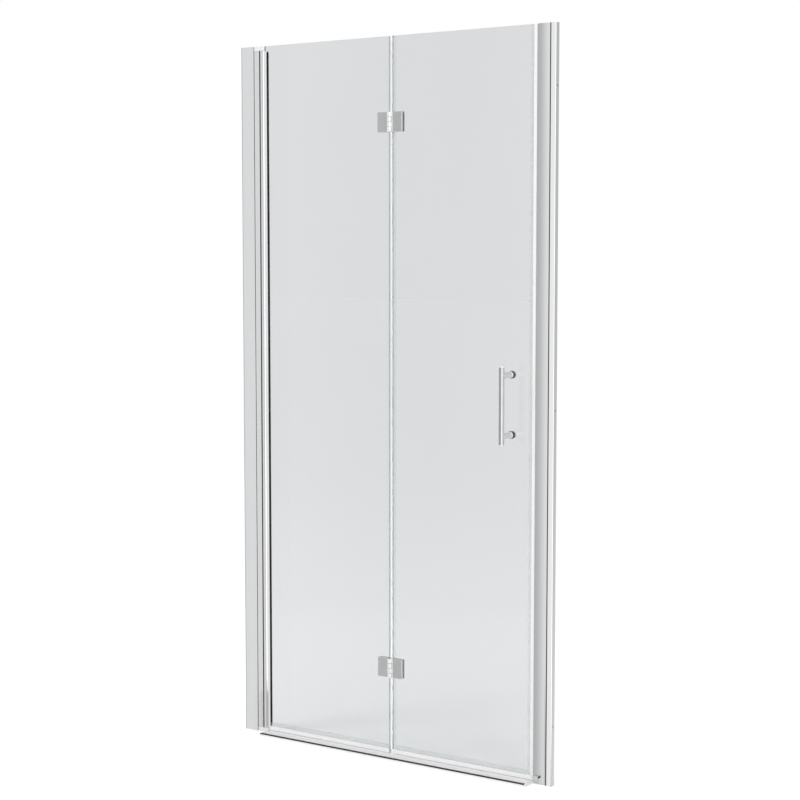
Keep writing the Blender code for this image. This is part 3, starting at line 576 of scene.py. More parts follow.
def makeSolid(grain, name, light, dark, rough, sizes, relief, strength, metallic=None):
    material, tree, shader = newMaterial(
        name, {"Metallic": grain["metallic"] if metallic is None else metallic})
    where = whereIn(tree)
    stretched = addNode(tree, "Mapping", {"Scale": [perMetre(size) for size in sizes]}, {"Vector": where})
    noise = addNode(tree, "TexNoise",
                    {"Scale": 1.0, "Detail": grain["detail"], "Roughness": grain["rough"]},
                    {"Vector": stretched.outputs[0]})
    if "clouds" in grain:
        clouds = addNode(tree, "TexNoise", {"Scale": perMetre(grain["clouds"]), "Detail": 2.0},
                         {"Vector": where})
        noise = addNode(tree, "Math", {"operation": "ADD"}, {0: noise.outputs[0], 1: clouds.outputs[0]})
    pattern = addNode(tree, "MapRange", {"From Min": grain["least"], "From Max": grain["most"]},
                      {"Value": noise.outputs[0]}).outputs["Result"]
    mixTones(tree, shader, pattern, light, dark)
    spread = addNode(tree, "MapRange", {"To Min": rough[0], "To Max": rough[1]}, {"Value": pattern})
    tree.links.new(spread.outputs["Result"], shader.inputs["Roughness"])
    bump = addNode(tree, "Bump", {"Strength": strength, "Distance": relief / millimetres},
                   {"Height": pattern})
    tree.links.new(bump.outputs["Normal"], shader.inputs["Normal"])
    return material


# Clear materials: each row has the name, two near tones, the roughness, the size in mm over which the tones
# drift, the share of light that passes through, and the IOR
clearLooks = {
    # Toughened float glass, 6 mm: a neutral grey tint, as the pane shows against white
    "glass": ("clear toughened glass", "#DCDEDF", "#D9DBDD", 0.0, 400.0, 1.0, 1.52),
    # The same glass seen into its ground and polished edge, where its iron shows green
    "glassEdge": ("green edge of the glass", "#3F8F85", "#35857A", 0.30, 60.0, 0.15, 1.52),
    # Clear flexible PVC of the seals; they cling to the glass, so that they mirror less than a free sheet
    "clearPvc": ("clear flexible PVC", "#FCFCFC", "#F8F9F9", 0.06, 25.0, 0.97, 1.15),
}


def makeClear(name, light, dark, rough, drift, through, bending):
    material, tree, shader = newMaterial(
        name, {"Roughness": rough, "IOR": bending, "Transmission Weight": through})
    clouds = addNode(tree, "TexNoise", {"Scale": perMetre(drift), "Detail": 2.0}, {"Vector": whereIn(tree)})
    mixTones(tree, shader, clouds.outputs[0], light, dark)
    return material


finishes = {key: makeClear(*look) for key, look in clearLooks.items()}
for looks, grain in ((metalLooks, metalGrain), (softLooks, softGrain)):
    for key, look in looks.items():
        finishes[key] = makeSolid(grain, *look)
print("materials ready")


# Wall profiles: U channels, rounded at the wall, with holes for the wall and clamp screws
wallProfile = {
    "wall": 0.0015,
    "wallRounds": {1: 0.0026, -1: 0.0013},  # left and right profile
    "wallSteps": 6,
    "tipRounds": {1: 0.0004, -1: 0.0012},
    "tipSteps": 4,
    "tipShorts": {1: 0.0, -1: 0.0015},
    "screwHole": 0.0020,
    "holeShares": (0.08, 0.50, 0.92),
    "clampHole": 0.0022,
    "holeOver": 0.002,
    "clampReach": (-0.005, 0.001),  # of the holes in what slides in the profile
    "shadeTurn": 0.02,
}


def makeWallProfile(label, side):
    node = label + "_wall_profile"
    low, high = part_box(node)
    wallX, tipX = (low.x, high.x) if side > 0 else (high.x, low.x)
    tipX -= side * wallProfile["tipShorts"][side]
    outer = high.y
    inner = outer - wallProfile["wall"]
    webX = wallX + side * wallProfile["wall"]
    outline = [(wallX, -outer), (tipX, -outer), (tipX, -inner), (webX, -inner)]
    channel = pullOutline(node, outline + mirrored(outline), "Z", low.z, high.z)
    bevelAlong("Z", wallProfile["wallRounds"][side], wallProfile["wallSteps"],
               lambda spot: near(spot.x, wallX))
    bevelAlong("Z", wallProfile["tipRounds"][side], wallProfile["tipSteps"],
               lambda spot: near(spot.x, tipX) and abs(spot.y) > inner + tiny)
    spots = [(wallX, 0, (high.z - low.z) * share) for share in wallProfile["holeShares"]]
    reach = wallProfile["wall"] + wallProfile["holeOver"]
    drill(channel, spots, wallProfile["screwHole"], "X", -reach, reach)
    drill(channel, clampSpots(label), wallProfile["clampHole"], "Y", -reach, reach)
    if side > 0:  # painted shade and dark reflection: the dark finish on the wall side and on the tip, where the wall and the carrier shade them
        twoFinishes(channel, "aluminium", "dullAluminium", lambda middle, normal: isUpright(normal)
                    and (normal.x < -wallProfile["shadeTurn"] or middle.x > tipX - tiny))
    # the right profile takes the lighter aluminium as painted light; the left one keeps its own two finishes
    dress(channel, "paintedLightAluminium", "frame", "polished_aluminium", node)


clampLevels = ("low", "middle", "high")


# Where the clamp screws go through the shower side of a profile
def clampSpots(label):
    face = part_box(label + "_wall_profile")[1].y
    middles = [boxMiddle(f"{label}_clamp_screw_{level}") for level in clampLevels]
    return [(middle.x, face, middle.z) for middle in middles]


def drillForClamps(piece, label):
    drill(piece, clampSpots(label), wallProfile["clampHole"], "Y", *wallProfile["clampReach"])


# Clamp screws: pan heads with a hexagon socket, modelled once and copied
clampScrew = {
    "shank": 0.0019,
    "headShares": ((0.72, 1), (0.92, 0.72), (1, 0.4)),  # of the head's radius and height
    "seat": 0.0003,
    "tip": 0.001,
    "tipShare": 0.6,
    "socketShare": 0.55,
    "socketDepth": 0.0012,
    "soft": 0.0002,
}


def makeClampScrews():
    nodes = [f"{label}_clamp_screw_{level}" for label in ("left", "right") for level in clampLevels]
    low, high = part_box(nodes[0])
    spot = clampSpots("left")[0]
    head, shank, seat = (high.x - low.x) / 2, clampScrew["shank"], clampScrew["seat"]
    rise, reach = high.y - spot[1], low.y - spot[1]
    profile = [(0, rise)] + [(head * across, rise * along) for across, along in clampScrew["headShares"]]
    profile += [(head, seat), (shank, seat), (shank, reach + clampScrew["tip"]),
                (shank * clampScrew["tipShare"], reach), (0, reach)]
    screw = spinProfile(nodes[0], profile, spot, "Y", sides["screw"])
    depth = clampScrew["socketDepth"]
    drill(screw, [(spot[0], high.y, spot[2])], head * clampScrew["socketShare"], "Y", -depth, depth,
          sides["hexagon"])
    softenEdges(screw, clampScrew["soft"])
    dressSet(screw, "stainless", "frame", "stainless", nodes)


# Pivot carrier: slides in the left wall profile and cradles the round stile
carrierLook = {"wall": 0.0015, "swingGap": 0.0005, "edge": 0.0004, "edgeSteps": 2, "lipShort": 0.0005}


def makeCarrier():
    low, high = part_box("pivot_carrier")
    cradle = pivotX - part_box("pivot_stile")[0].x + carrierLook["swingGap"]
    tipX = high.x - carrierLook["lipShort"]
    opening = acos((pivotX - tipX) / cradle)
    web = pivotX - cradle - carrierLook["wall"]
    inner = high.y - carrierLook["wall"]
    outline = [(low.x, low.y), (tipX, low.y)]
    outline += arcPoints((pivotX, 0), cradle, pi + opening, pi - opening, steps["cradle"])
    outline += [(tipX, high.y), (low.x, high.y), (low.x, inner), (web, inner), (web, -inner),
                (low.x, -inner)]
    carrier = pullOutline("pivot_carrier", outline, "Z", low.z, high.z)
    bevelAlong("Z", carrierLook["edge"], carrierLook["edgeSteps"], lambda spot: near(spot.x, tipX))
    drillForClamps(carrier, "left")
    # painted shade: the cradle and the lip's end take the dark finish, where the gap beside the stile lies
    # in shade
    twoFinishes(carrier, "aluminium", "dullAluminium", lambda middle, normal: isUpright(normal)
                and (fromAxis(middle, pivotX, 0) < cradle + tiny or middle.x > tipX - tiny))
    dress(carrier, "aluminium", "frame", "polished_aluminium", "pivot_carrier")


# Pivot blocks: round nose under and over the stile, with broken edges, and a spigot in the carrier
blockLook = {"edge": 0.0005, "edgeSteps": 3, "spigotIn": 0.0018, "spigotEnd": 0.004, "root": 0.001,
             "bore": 0.0048, "boreOver": 0.002}


def makePivotBlock(level, up):
    node = level + "_pivot_block"
    low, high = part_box(node)
    bushLow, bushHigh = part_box(level + "_pivot_bush")
    carrierLow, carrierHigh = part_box("pivot_carrier")
    outerEnd, innerEnd = (low.z, high.z) if up > 0 else (high.z, low.z)
    nose, half = high.x - pivotX, carrierHigh.y
    corner = acos(sqrt(nose * nose - half * half) / nose)
    seat = (carrierLow.z if up > 0 else carrierHigh.z) - up * gap
    outline = arcPoints((pivotX, 0), nose, corner - pi, pi - corner, steps["nose"])
    outline += [(low.x, half), (low.x, -half)]
    block = pullOutline(node, outline, "Z", min(outerEnd, seat), max(outerEnd, seat))
    softenEdges(block, blockLook["edge"], blockLook["edgeSteps"])
    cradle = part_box("pivot_stile")[0].x - carrierLook["swingGap"]
    inner = half - blockLook["spigotIn"]
    root = seat - up * blockLook["root"]
    spigot = startBlock("spigot", (low.x + blockLook["spigotEnd"], -inner, min(root, innerEnd)),
                        (cradle - blockLook["spigotIn"], inner, max(root, innerEnd)))
    combine(block, spigot, "UNION")
    ends = sorted((bushLow.z if up > 0 else bushHigh.z, seat + up * blockLook["boreOver"]))
    drill(block, [(pivotX, 0, 0)], blockLook["bore"], "Z", *ends, sides["hole"])
    dress(block, "satinChrome", "frame", "chrome", node)


makeWallProfile("left", 1)
makeWallProfile("right", -1)
makeCarrier()
makePivotBlock("bottom", 1)
makePivotBlock("top", -1)
makeClampScrews()
print("wall profiles, carrier and pivot blocks ready")


# Strike profile: a bowed hollow section with a groove for its magnet
strikeLook = {"curveEnd": 0.0175, "noseHalf": 0.0052, "bulge": 0.0009, "grooveHalf": 0.003,
              "grooveDepth": 0.003, "wall": 0.0015, "noseRound": 0.0006, "noseSteps": 4, "step": 0.001}


# Points on a shallow bow from start to end
def bowPoints(start, end, rise):
    start, end = Vector(start), Vector(end)
    half = (end - start).length / 2
    radius = (half * half + rise * rise) / (2 * rise)
    way = (end - start).normalized()
    centre = (start + end) / 2 - Vector((way.y, -way.x)) * (radius - rise)
    first = (start - centre).angle_signed(Vector((1, 0)))
    return arcPoints(centre, radius, first, first + 2 * asin(half / radius), steps["bow"])


def makeStrikeProfile():
    low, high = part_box("strike_profile")
    wall, grooveHalf = strikeLook["wall"], strikeLook["grooveHalf"]
    curveEnd = cadBounds[1].x - strikeLook["curveEnd"]
    back, inside = high.x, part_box("pivot_carrier")[1].y
    groove = low.x + strikeLook["grooveDepth"]
    tongue = inside - strikeLook["step"]
    outer = bowPoints((low.x, -strikeLook["noseHalf"]), (curveEnd, -inside), strikeLook["bulge"])
    outer += [(curveEnd, -tongue), (back, -tongue)]
    outer += mirrored(outer)
    outer += [(low.x, grooveHalf), (groove, grooveHalf), (groove, -grooveHalf), (low.x, -grooveHalf)]
    strike = pullOutline("strike_profile", outer, "Z", low.z, high.z)
    bevelAlong("Z", strikeLook["noseRound"], strikeLook["noseSteps"],
               lambda spot: near(spot.x, low.x) and abs(spot.y) > grooveHalf + tiny)
    inner, nose = tongue - wall, strikeLook["noseHalf"] - wall
    hollow = [(groove + wall, -nose), (curveEnd, -inner), (back - wall, -inner)]
    tube = pullOutline("hollow", hollow + mirrored(hollow), "Z", low.z - overrun, high.z + overrun)
    combine(strike, tube, "DIFFERENCE")
    drillForClamps(strike, "right")
    # painted shade: the part that runs into the wall profile takes the dark finish, a line of shade at the
    # profile's edge
    twoFinishes(strike, "aluminium", "dullAluminium",
                lambda middle, normal: isUpright(normal) and middle.x > curveEnd - tiny)
    dress(strike, "aluminium", "frame", "polished_aluminium", "strike_profile")


# Pin along the strike's foot, with a domed head, on a small flat seat
footPin = {"radius": 0.0024, "headLength": 0.003, "rimShare": 0.3, "tip": 0.0006, "seatEdge": 0.0002,
           "shadeTurn": 0.3}


def makeFootPin():
    low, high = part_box("strike_foot_pin")
    head, radius, rim = (high.z - low.z) / 2, footPin["radius"], footPin["rimShare"]
    centre = Vector((low.x, low.y + head, (low.z + high.z) / 2))
    shoulder = high.x - low.x - footPin["headLength"]
    profile = [(head * across, shoulder + footPin["headLength"] * (rim + (1 - rim) * along))
               for across, along in domeShares(steps["smallDome"])]
    profile += [(head, shoulder), (radius, shoulder), (radius, footPin["tip"]), (radius - footPin["tip"], 0),
                (0, 0)]
    pin = spinProfile("strike_foot_pin", profile, centre, "X", sides["screw"])
    seat = startBlock("seat", (low.x + radius, centre.y, centre.z - radius / 2),
                      (low.x + shoulder - radius, high.y, centre.z + radius / 2))
    bevelAll(footPin["seatEdge"], 1)
    combine(pin, seat, "UNION")
    # painted shade: the domed head's face turned to the wall profile takes the dark finish
    twoFinishes(pin, "castChrome", "dullAluminium", lambda middle, normal: middle.x > low.x + shoulder + tiny
                and normal.x > footPin["shadeTurn"])
    dress(pin, "castChrome", "frame", "chrome", "strike_foot_pin")


# Sill: a low bar with painted shade and dark reflection in black along its rounded front, grooves under
# it for the sealant, and a cap at each end
sillLook = {
    "frontRound": 0.0045,
    "backRound": 0.0013,
    "roundSteps": 12,
    "grooveDepth": 0.0015,
    "grooveWidth": 0.010,
    "grooveStarts": (-0.0210, -0.0390),
    "shadeBandWidth": 0.0075,
    "shadeBandTurns": (0.1, 0.87),  # least turn up and most turn to the front of the faces under the painted shade
    "shadeBandOnCap": 0.0086,
}


def makeSillPiece(node, finish, slotName):
    low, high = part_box(node)
    outline = [(low.y, low.z), (high.y, low.z), (high.y, high.z), (low.y, high.z)]
    piece = pullOutline(node, outline, "X", low.x, high.x)
    for edgeY, width in ((low.y, sillLook["frontRound"]), (high.y, sillLook["backRound"])):
        bevelAlong("X", width, sillLook["roundSteps"],
                   lambda spot: near(spot.y, edgeY) and near(spot.z, high.z))
    if node == "sill_bar":
        for start in sillLook["grooveStarts"]:
            cutBlock(piece, (low.x - overrun, start, -overrun),
                     (high.x + overrun, start + sillLook["grooveWidth"], sillLook["grooveDepth"]))
    # painted shade and dark reflection: the band along the rounded front and the front of the top takes the
    # black rubber finish
    paintedBandEnd = low.x + sillLook["shadeBandOnCap"] if node == "sill_cap_right" else high.x + tiny
    shadeBandBack = low.y + sillLook["shadeBandWidth"]
    splitFaces(piece, (paintedBandEnd, 0, 0), "X")
    splitFaces(piece, (0, shadeBandBack, 0), "Y")
    flat, steep = sillLook["shadeBandTurns"]
    twoFinishes(piece, finish, "rubber", lambda middle, normal: normal.z > flat and -normal.y < steep
                and middle.y < shadeBandBack and middle.x < paintedBandEnd)
    dress(piece, finish, "frame", slotName, node)


makeStrikeProfile()
makeFootPin()
makeSillPiece("sill_bar", "sillAluminium", "polished_aluminium")
makeSillPiece("sill_cap_left", "whiteCap", "white_nylon")
makeSillPiece("sill_cap_right", "whiteCap", "white_nylon")
print("strike profile and sill ready")


# Pivot stile: a round tube with two arms that hold the glass and its gaskets
stileLook = {"armHalf": 0.0057, "armWall": 0.0012, "bore": 0.0033, "armRound": 0.0003, "armSteps": 3}


def makeStile():
    low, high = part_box("pivot_stile")
    radius = pivotX - low.x
    root = asin(stileLook["armHalf"] / radius)
    channel = stileLook["armHalf"] - stileLook["armWall"]
    outline = arcPoints((pivotX, 0), radius, root, 2 * pi - root, sides["tube"])
    arm = [(high.x, -stileLook["armHalf"]), (high.x, -channel), (pivotX + radius, -channel)]
    stile = pullOutline("pivot_stile", outline + arm + mirrored(arm), "Z", low.z, high.z)
    bevelAlong("Z", stileLook["armRound"], stileLook["armSteps"], lambda spot: near(spot.x, high.x))
    drill(stile, [(pivotX, 0, 0)], stileLook["bore"], "Z", low.z - overrun, high.z + overrun)
    dress(stile, "polishedAluminium", "pivot_leaf", "chrome", "pivot_stile")


# Glazing gaskets: a strip between arm and glass with a rounded lip over the arm's tip
gasketLook = {"lipRound": 0.0011, "lipSteps": 5}


def makeGasket(label, side):
    node = "glazing_gasket_" + label
    low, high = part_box(node)
    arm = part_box("pivot_stile")[1].x + gap
    nearGlass, lipFace = sorted((abs(low.y), abs(high.y)))
    inArm = stileLook["armHalf"] - stileLook["armWall"] - gap
    outline = [(low.x, nearGlass), (high.x, nearGlass), (high.x, lipFace), (arm, lipFace), (arm, inArm),
               (low.x, inArm)]
    gasket = pullOutline(node, outline if side > 0 else mirrored(outline), "Z", low.z, high.z)
    bevelAlong("Z", gasketLook["lipRound"], gasketLook["lipSteps"],
               lambda spot: near(spot.x, high.x) and near(abs(spot.y), lipFace))
    dress(gasket, "rubber", "pivot_leaf", "black_rubber", node)


# Panes: ground edges with a small arris all round, and drilled holes
paneLook = {"arris": 0.0007, "arrisSteps": 2, "hole": 0.004, "holeReach": 0.002, "edgeTurn": 0.3}


def makePane(node, body, spots):
    low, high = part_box(node)
    pane = startBlock(node, low, high)
    bevelAll(paneLook["arris"], paneLook["arrisSteps"])
    reach = high.y + paneLook["holeReach"]
    drill(pane, spots, paneLook["hole"], "Y", -reach, reach, sides["hole"])
    edgeEnd = boxMiddle("folding_glass").x  # the free edge stands against its white seal and shows no green
    twoFinishes(pane, "glass", "glassEdge", lambda middle, normal: abs(normal.y) < mostly
                and abs(normal.x) > paneLook["edgeTurn"] and middle.x < edgeEnd)
    dress(pane, "glass", body, "clear_glass", node)
    pane.visible_shadow = False  # light reaches what is behind the glass


# Seal under a pane: clear legs on both faces of it, a white hollow bulb and a fin towards the shower
bottomSeal = {
    "wall": 0.001,
    "bulbRound": 0.0008,
    "bulbSteps": 4,
    "cover": 0.0014,     # of white over the pane's lower edge, in front
    "bulbFloor": 1.2,    # in walls
    "finHeights": (1.6, 0.9, 1.7),  # in walls, over the foot: under the root, at the tip, over the tip
}


def makeBottomSeal(node, body):
    low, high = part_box(node)
    paneLow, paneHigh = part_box(node.split("_")[0] + "_glass")
    wall = bottomSeal["wall"]
    face = paneHigh.y + gap
    half = face + wall
    web = paneLow.z - gap
    floor, foot = web - wall, low.z
    frontCover, backCover = paneLow.z + bottomSeal["cover"], paneLow.z
    root, tipLow, tipHigh = (foot + wall * height for height in bottomSeal["finHeights"])
    outline = [(-half, foot), (half, foot), (half, root), (high.y, tipLow), (high.y, tipHigh),
               (half, floor - wall), (half, backCover), (half, high.z), (face, high.z), (face, web),
               (-face, web), (-face, high.z), (-half, high.z), (-half, frontCover), (-half, floor - wall)]
    seal = pullOutline(node, outline, "X", low.x, high.x)
    bevelAlong("X", bottomSeal["bulbRound"], bottomSeal["bulbSteps"], lambda spot: near(spot.z, foot))
    cutBlock(seal, (low.x - overrun, -face, foot + wall * bottomSeal["bulbFloor"]),
             (high.x + overrun, face, floor))
    twoFinishes(seal, "whiteSealPvc", "clearPvc", lambda middle, normal:
                middle.z > (frontCover if middle.y < 0 else backCover) + tiny)
    dress(seal, "whiteSealPvc", body, "white_vinyl", node)


makeStile()
makeGasket("front", -1)
makeGasket("back", 1)
print("stile and gaskets ready")

leaves = ("pivot", "folding")
ends = ("upper", "lower")


def hingeNodes(leaf):
    return [f"{level}_hinge_{leaf}" for level in ends]


def screwNodes(leaf):
    return [f"{node}_screw_{end}" for node in hingeNodes(leaf) for end in ends]


def holeSpots(nodes):
    return [(boxMiddle(node).x, 0, boxMiddle(node).z) for node in nodes]


posts = ["handle_post_" + end for end in ends]
makePane("pivot_glass", "pivot_leaf", holeSpots(screwNodes("pivot")))
makePane("folding_glass", "folding_leaf", holeSpots(screwNodes("folding") + posts))
for leaf in leaves:
    makeBottomSeal(leaf + "_bottom_seal", leaf + "_leaf")
print("panes and bottom seals ready")


# Seal at the fold: legs on the folding pane and a fin that closes the gap between the panes
foldSeal = {"wall": 0.001, "fin": 0.0012, "foot": 0.0036, "margin": 0.0006, "edge": 0.0002,
            "legs": 0.0080}
notch = {"reach": 0.009, "past": 0.001, "below": 0.002}


# Cuts both legs of an edge seal away between two heights
def notchLegs(seal, left, right, low, high):
    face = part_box("folding_glass")[1].y + gap / 2
    for side in (-1, 1):
        inner, outer = sorted((side * face, side * notch["reach"]))
        cutBlock(seal, (left, inner, low), (right, outer, high))


def makeFoldSeal():
    low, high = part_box("fold_seal")
    paneLow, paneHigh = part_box("folding_glass")
    web = paneLow.x - gap
    left = web - foldSeal["wall"]
    face = paneHigh.y + gap
    half, foot, fin = high.y, foldSeal["foot"] / 2, foldSeal["fin"] / 2
    root = low.x + foldSeal["fin"]
    legEnd = paneLow.x + foldSeal["legs"]
    front = [(low.x, -foot), (root, -foot), (root, -fin), (left, -fin), (left, -half), (legEnd, -half),
             (legEnd, -face), (web, -face)]
    seal = pullOutline("fold_seal", front + mirrored(front), "Z", low.z, high.z)
    bpy.ops.object.mode_set(mode="OBJECT")
    softenEdges(seal, foldSeal["edge"])
    heights = [(low.z - notch["below"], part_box("folding_bottom_seal")[1].z + gap)]
    for node in hingeNodes("folding"):
        plateLow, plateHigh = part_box(node + "_plate")
        heights.append((plateLow.z - foldSeal["margin"], plateHigh.z + foldSeal["margin"]))
    for bottom, top in heights:
        notchLegs(seal, left - notch["past"], high.x + notch["past"], bottom, top)
    dress(seal, "clearPvc", "folding_leaf", "clear_vinyl", "fold_seal")


# Magnetic seal on the free edge: clear legs on the pane and a white pocket for its magnet
magnetSeal = {"wall": 0.001, "edge": 0.0004, "edgeSteps": 3}


def makeMagnetSeal():
    low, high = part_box("magnet_seal")
    paneLow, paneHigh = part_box("folding_glass")
    wall = magnetSeal["wall"]
    web, face = paneHigh.x + gap, paneHigh.y + gap
    front = [(low.x, -face), (low.x, -high.y), (web, -high.y), (high.x, -high.y)]
    outline = front + mirrored(front) + [(web, face), (web, -face)]
    seal = pullOutline("magnet_seal", outline, "Z", low.z, high.z)
    bevelAlong("Z", magnetSeal["edge"], magnetSeal["edgeSteps"], lambda spot: near(abs(spot.y), high.y))
    cutBlock(seal, (web + wall, -face, low.z - overrun), (high.x - wall, face, high.z + overrun))
    left, bottom = low.x - notch["past"], low.z - notch["below"]
    notchLegs(seal, left, web + gap / 2, bottom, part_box("folding_bottom_seal")[1].z + gap)
    cutBlock(seal, (left, -notch["reach"], bottom), (web, notch["reach"], paneLow.z + gap))
    twoFinishes(seal, "whitePvc", "clearPvc", lambda middle, normal: middle.x < web - tiny)
    dress(seal, "whitePvc", "folding_leaf", "white_vinyl", "magnet_seal")


makeFoldSeal()
makeMagnetSeal()
print("edge seals ready")


# Hinges: a chromed outer plate with satin knuckles, an inner clamp plate, screws and a pin
hingeLook = {
    "edge": 0.0008,          # broken edge of the plates
    "edgeSteps": 3,
    "knuckles": 4,
    "barrel": 0.0063,
    "pin": 0.0025,
    "knuckleGap": 0.0009,
    "clearance": 0.0008,     # between the barrel and the other leaf's plate
    "armRoot": 0.0005,       # of a knuckle's arm inside its plate
    "knuckleEdge": 0.0003,
    "knuckleTurn": 50,       # degrees
    "highlightBand": 0.0026,    # painted highlight in the satin finish, beside the knuckles of the folding leaf's plate
    "shank": 0.0024,
    "clampOver": 0.001,
    "sink": (0.0054, 0.0028, 0.0003),  # radius, depth and overrun
}


def makeHingePlate(node, side, body):
    low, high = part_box(node + "_plate")
    barrel, edge = hingeLook["barrel"], hingeLook["edge"]
    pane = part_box("folding_glass")[1].y + gap
    clear = barrel + hingeLook["clearance"]
    reach = high.x - foldX if side > 0 else foldX - low.x
    sides = sorted((foldX + side * clear, foldX + side * reach))
    plate = startBlock(node + "_plate", (sides[0], foldY, low.z), (sides[1], -pane, high.z))
    choose("EDGE", lambda middle, way: abs(way.y) < 1 - mostly)
    bpy.ops.mesh.bevel(offset=edge, segments=hingeLook["edgeSteps"], affect="EDGES")
    depth = -pane - foldY
    shoulder = asin(depth / barrel) if depth < barrel else pi / 2
    pitch = (high.z - low.z) / hingeLook["knuckles"]
    arm = clear + edge + hingeLook["armRoot"]
    outline = arcPoints((0, 0), barrel, pi - shoulder, -pi, steps["barrel"])
    outline += [(-arm, edge), (-arm, depth - edge), (-clear, depth - edge)]
    outline = [(foldX - side * across, foldY + along) for across, along in outline]
    for level in range(0 if side < 0 else 1, hingeLook["knuckles"], 2):
        base = low.z + level * pitch + hingeLook["knuckleGap"] / 2
        knuckle = pullOutline("knuckle", outline, "Z", base, base + pitch - hingeLook["knuckleGap"])
        softenEdges(knuckle, hingeLook["knuckleEdge"], angle=hingeLook["knuckleTurn"])
        combine(plate, knuckle, "UNION")
        closeSlits(plate)  # an open slit could spoil the next cut
    drill(plate, [(foldX, foldY, 0)], hingeLook["pin"] + gap, "Z", low.z - overrun, high.z + overrun)
    # painted highlight: a band of the plate beside the knuckles takes the lighter satin finish, as the
    # knuckles do
    paintedBandEnd = foldX + clear + hingeLook["highlightBand"]
    splitFaces(plate, (paintedBandEnd, 0, 0), "X")
    twoFinishes(plate, "castChrome", "satinChrome", lambda middle, normal: foldX < middle.x < paintedBandEnd
                or fromAxis(middle, foldX, foldY) < barrel + tiny)
    dress(plate, "castChrome", body, "chrome", node + "_plate")


def makeHingeClamp(node, body):
    low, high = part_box(node + "_clamp_plate")
    clamp = startBlock(node + "_clamp_plate", low, high)
    bevelAll(hingeLook["edge"], hingeLook["edgeSteps"])
    spots = [(spot[0], high.y, spot[2]) for spot in holeSpots(f"{node}_screw_{end}" for end in ends)]
    over, (sink, depth, sinkOver) = hingeLook["clampOver"], hingeLook["sink"]
    drill(clamp, spots, hingeLook["shank"] + gap, "Y", low.y - high.y - over, over)
    drill(clamp, spots, sink, "Y", -depth, sinkOver, tip=hingeLook["shank"])
    dress(clamp, "castChrome", body, "chrome", node + "_clamp_plate")


# Countersunk screws with a hexagon socket, modelled once for each leaf and copied
hingeScrew = {"crown": 0.96, "rim": 0.0003, "head": 0.0024, "tip": 0.0006, "socketShare": 0.5,
              "socket": (-0.0014, 0.001)}


def makeHingeScrews(leaf, body):
    nodes = screwNodes(leaf)
    low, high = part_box(nodes[0])
    middle = boxMiddle(nodes[0])
    head, reach, shank, tip = (high.x - low.x) / 2, low.y - high.y, hingeLook["shank"], hingeScrew["tip"]
    profile = [(0, 0), (head * hingeScrew["crown"], 0), (head, -hingeScrew["rim"]),
               (shank, -hingeScrew["head"]), (shank, reach + tip), (shank - tip, reach), (0, reach)]
    spot = (middle.x, high.y, middle.z)
    screw = spinProfile(nodes[0], profile, spot, "Y", sides["screw"])
    drill(screw, [spot], head * hingeScrew["socketShare"], "Y", *hingeScrew["socket"], sides["hexagon"])
    dressSet(screw, "stainless", body, "stainless", nodes)


def makeHingePins():
    low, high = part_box("upper_hinge_pin")
    centre = boxMiddle("upper_hinge_pin")
    head = (high.x - low.x) / 2
    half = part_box("upper_hinge_pivot_plate")[1].z + gap - centre.z
    rise = high.z - centre.z - half
    profile = [(head * across, half + rise * along) for across, along in domeShares(steps["smallDome"])]
    profile.append((hingeLook["pin"], half))
    pin = spinProfile("upper_hinge_pin", profile + mirrored(profile), centre, "Z", sides["screw"])
    dressSet(pin, "chrome", "pivot_leaf", "chrome", [end + "_hinge_pin" for end in ends])


for side, leaf in zip((-1, 1), leaves):
    for node in hingeNodes(leaf):
        makeHingePlate(node, side, leaf + "_leaf")
        makeHingeClamp(node, leaf + "_leaf")
    makeHingeScrews(leaf, leaf + "_leaf")
makeHingePins()
print("hinges ready")


# Handle: a round bar on two posts, thick rubber cups under their flanges, small flat washers on the
# shower side, and cap nuts
handleLook = {
    "barRound": 0.003,
    "post": 0.008,
    "postGap": 0.00015,        # between the post's hollow end and the bar
    "saddle": 0.012,
    "flange": 0.004,
    "flangeIn": 0.0008,
    "stud": 0.003,
    "studHole": (-0.014, 0.002),
    "washer": 0.0050,
    "innerWasher": 0.0062,
    "washerHole": 0.0033,
    "soft": 0.0004,
    "nutFlat": 0.0015,
    "nutEdge": 0.0003,
    "studTip": 0.0005,
}


def makeHandleBar():
    low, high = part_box("handle_bar")
    centre = boxMiddle("handle_bar")
    radius, half, edge = (high.x - low.x) / 2, (high.z - low.z) / 2, handleLook["barRound"]
    end = [(0, half)] + [(radius - edge + edge * across, half - edge + edge * along)
                         for across, along in domeShares(steps["barDome"])]
    bar = spinProfile("handle_bar", end + mirrored(end), centre, "Z", sides["tube"])
    # painted highlight: the rounded ends take the lighter satin finish
    twoFinishes(bar, "chrome", "satinChrome", lambda middle, normal: abs(middle.z - centre.z) > half - edge)
    dress(bar, "chrome", "folding_leaf", "chrome", "handle_bar")


def makePosts():
    low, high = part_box(posts[0])
    barLow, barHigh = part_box("handle_bar")
    bar = boxMiddle("handle_bar")
    height = boxMiddle(posts[0]).z
    post, thick, soft = (handleLook[name] for name in ("post", "flange", "soft"))
    flange = (high.x - low.x) / 2 - handleLook["flangeIn"]
    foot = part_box("handle_washer_upper")[1].y - handleLook["washer"] - gap
    profile = [(0, foot), (flange - soft, foot), (flange, foot - soft), (flange, foot - thick + soft),
               (flange - soft, foot - thick), (post, foot - thick), (post, bar.y), (0, bar.y)]
    piece = spinProfile(posts[0], profile, (bar.x, 0, height), "Y", sides["post"])
    saddle = handleLook["saddle"]
    drill(piece, [(bar.x, bar.y, height)], (barHigh.x - barLow.x) / 2 + handleLook["postGap"], "Z",
          -saddle, saddle, sides["tube"])
    drill(piece, [(bar.x, high.y, height)], handleLook["stud"] + gap, "Y", *handleLook["studHole"])
    # painted highlight: the flange takes the lighter satin finish, a white ring round the post
    twoFinishes(piece, "castChrome", "satinChrome", lambda middle, normal: middle.y > foot - thick - tiny)
    dressSet(piece, "castChrome", "folding_leaf", "chrome", posts)


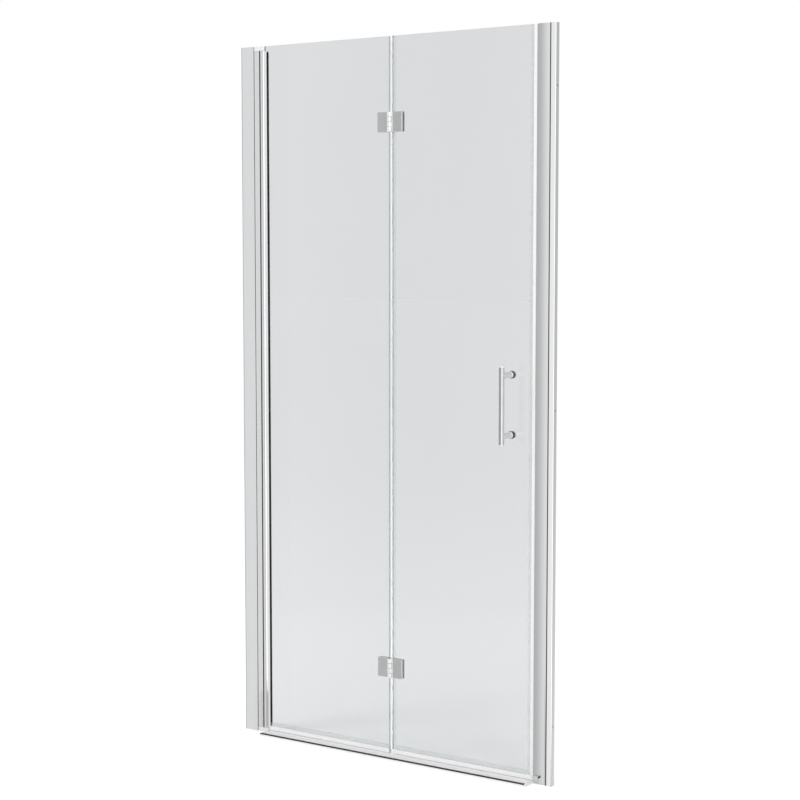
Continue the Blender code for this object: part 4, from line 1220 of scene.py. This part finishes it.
def makeWashers(label, outer, thick):
    nodes = [f"handle_{label}_{end}" for end in ends]
    middle = boxMiddle(nodes[0])
    hole, soft = handleLook["washerHole"], handleLook["soft"]
    profile = [(hole, 0), (outer - soft, 0), (outer, -soft), (outer, soft - thick), (outer - soft, -thick),
               (hole, -thick), (hole, 0)]
    spot = (middle.x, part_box(nodes[0])[1].y, middle.z)
    washer = spinProfile(nodes[0], profile, spot, "Y", sides["nut"])
    dressSet(washer, "rubber", "folding_leaf", "black_rubber", nodes)


def makeCapNuts():
    nodes = ["handle_cap_nut_" + end for end in ends]
    low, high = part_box(nodes[0])
    middle = boxMiddle(nodes[0])
    radius, stud = (high.x - low.x) / 2, handleLook["stud"]
    edge, tip = handleLook["nutEdge"], handleLook["studTip"]
    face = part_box("handle_inner_washer_upper")[1].y + gap
    rim = face + handleLook["nutFlat"]
    profile = [(radius * across, rim + (high.y - rim) * along)
               for across, along in domeShares(steps["nutDome"])]
    profile += [(radius, face + edge), (radius - edge, face), (stud, face), (stud, low.y + tip),
                (stud - tip, low.y), (0, low.y)]
    nut = spinProfile(nodes[0], profile, (middle.x, 0, middle.z), "Y", sides["nut"])
    dressSet(nut, "satinChrome", "folding_leaf", "chrome", nodes)


makeHandleBar()
makePosts()
washerLow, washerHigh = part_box("handle_washer_upper")
makeWashers("washer", (washerHigh.x - washerLow.x) / 2, handleLook["washer"])
washerLow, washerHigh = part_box("handle_inner_washer_upper")
makeWashers("inner_washer", handleLook["innerWasher"], washerHigh.y - washerLow.y)
makeCapNuts()
print("handle ready")


# CAD nodes that stay: hidden or plain pieces whose shape is right, with their real finish
carriedOver = {
    "left_top_cap": "greyPlastic",
    "right_top_cap": "greyPlastic",
    "strike_magnet": "ferrite",
    "seal_magnet": "ferrite",
    "bottom_pivot_bush": "nylon",
    "top_pivot_bush": "nylon",
    "bottom_stile_pin": "stainless",
    "top_stile_pin": "stainless",
}
for node, finish in carriedOver.items():
    for slot in frame["nodes"][node].material_slots:
        slot.material = finishes[finish]
print("carried-over nodes finished")

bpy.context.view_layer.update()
deselectAll()
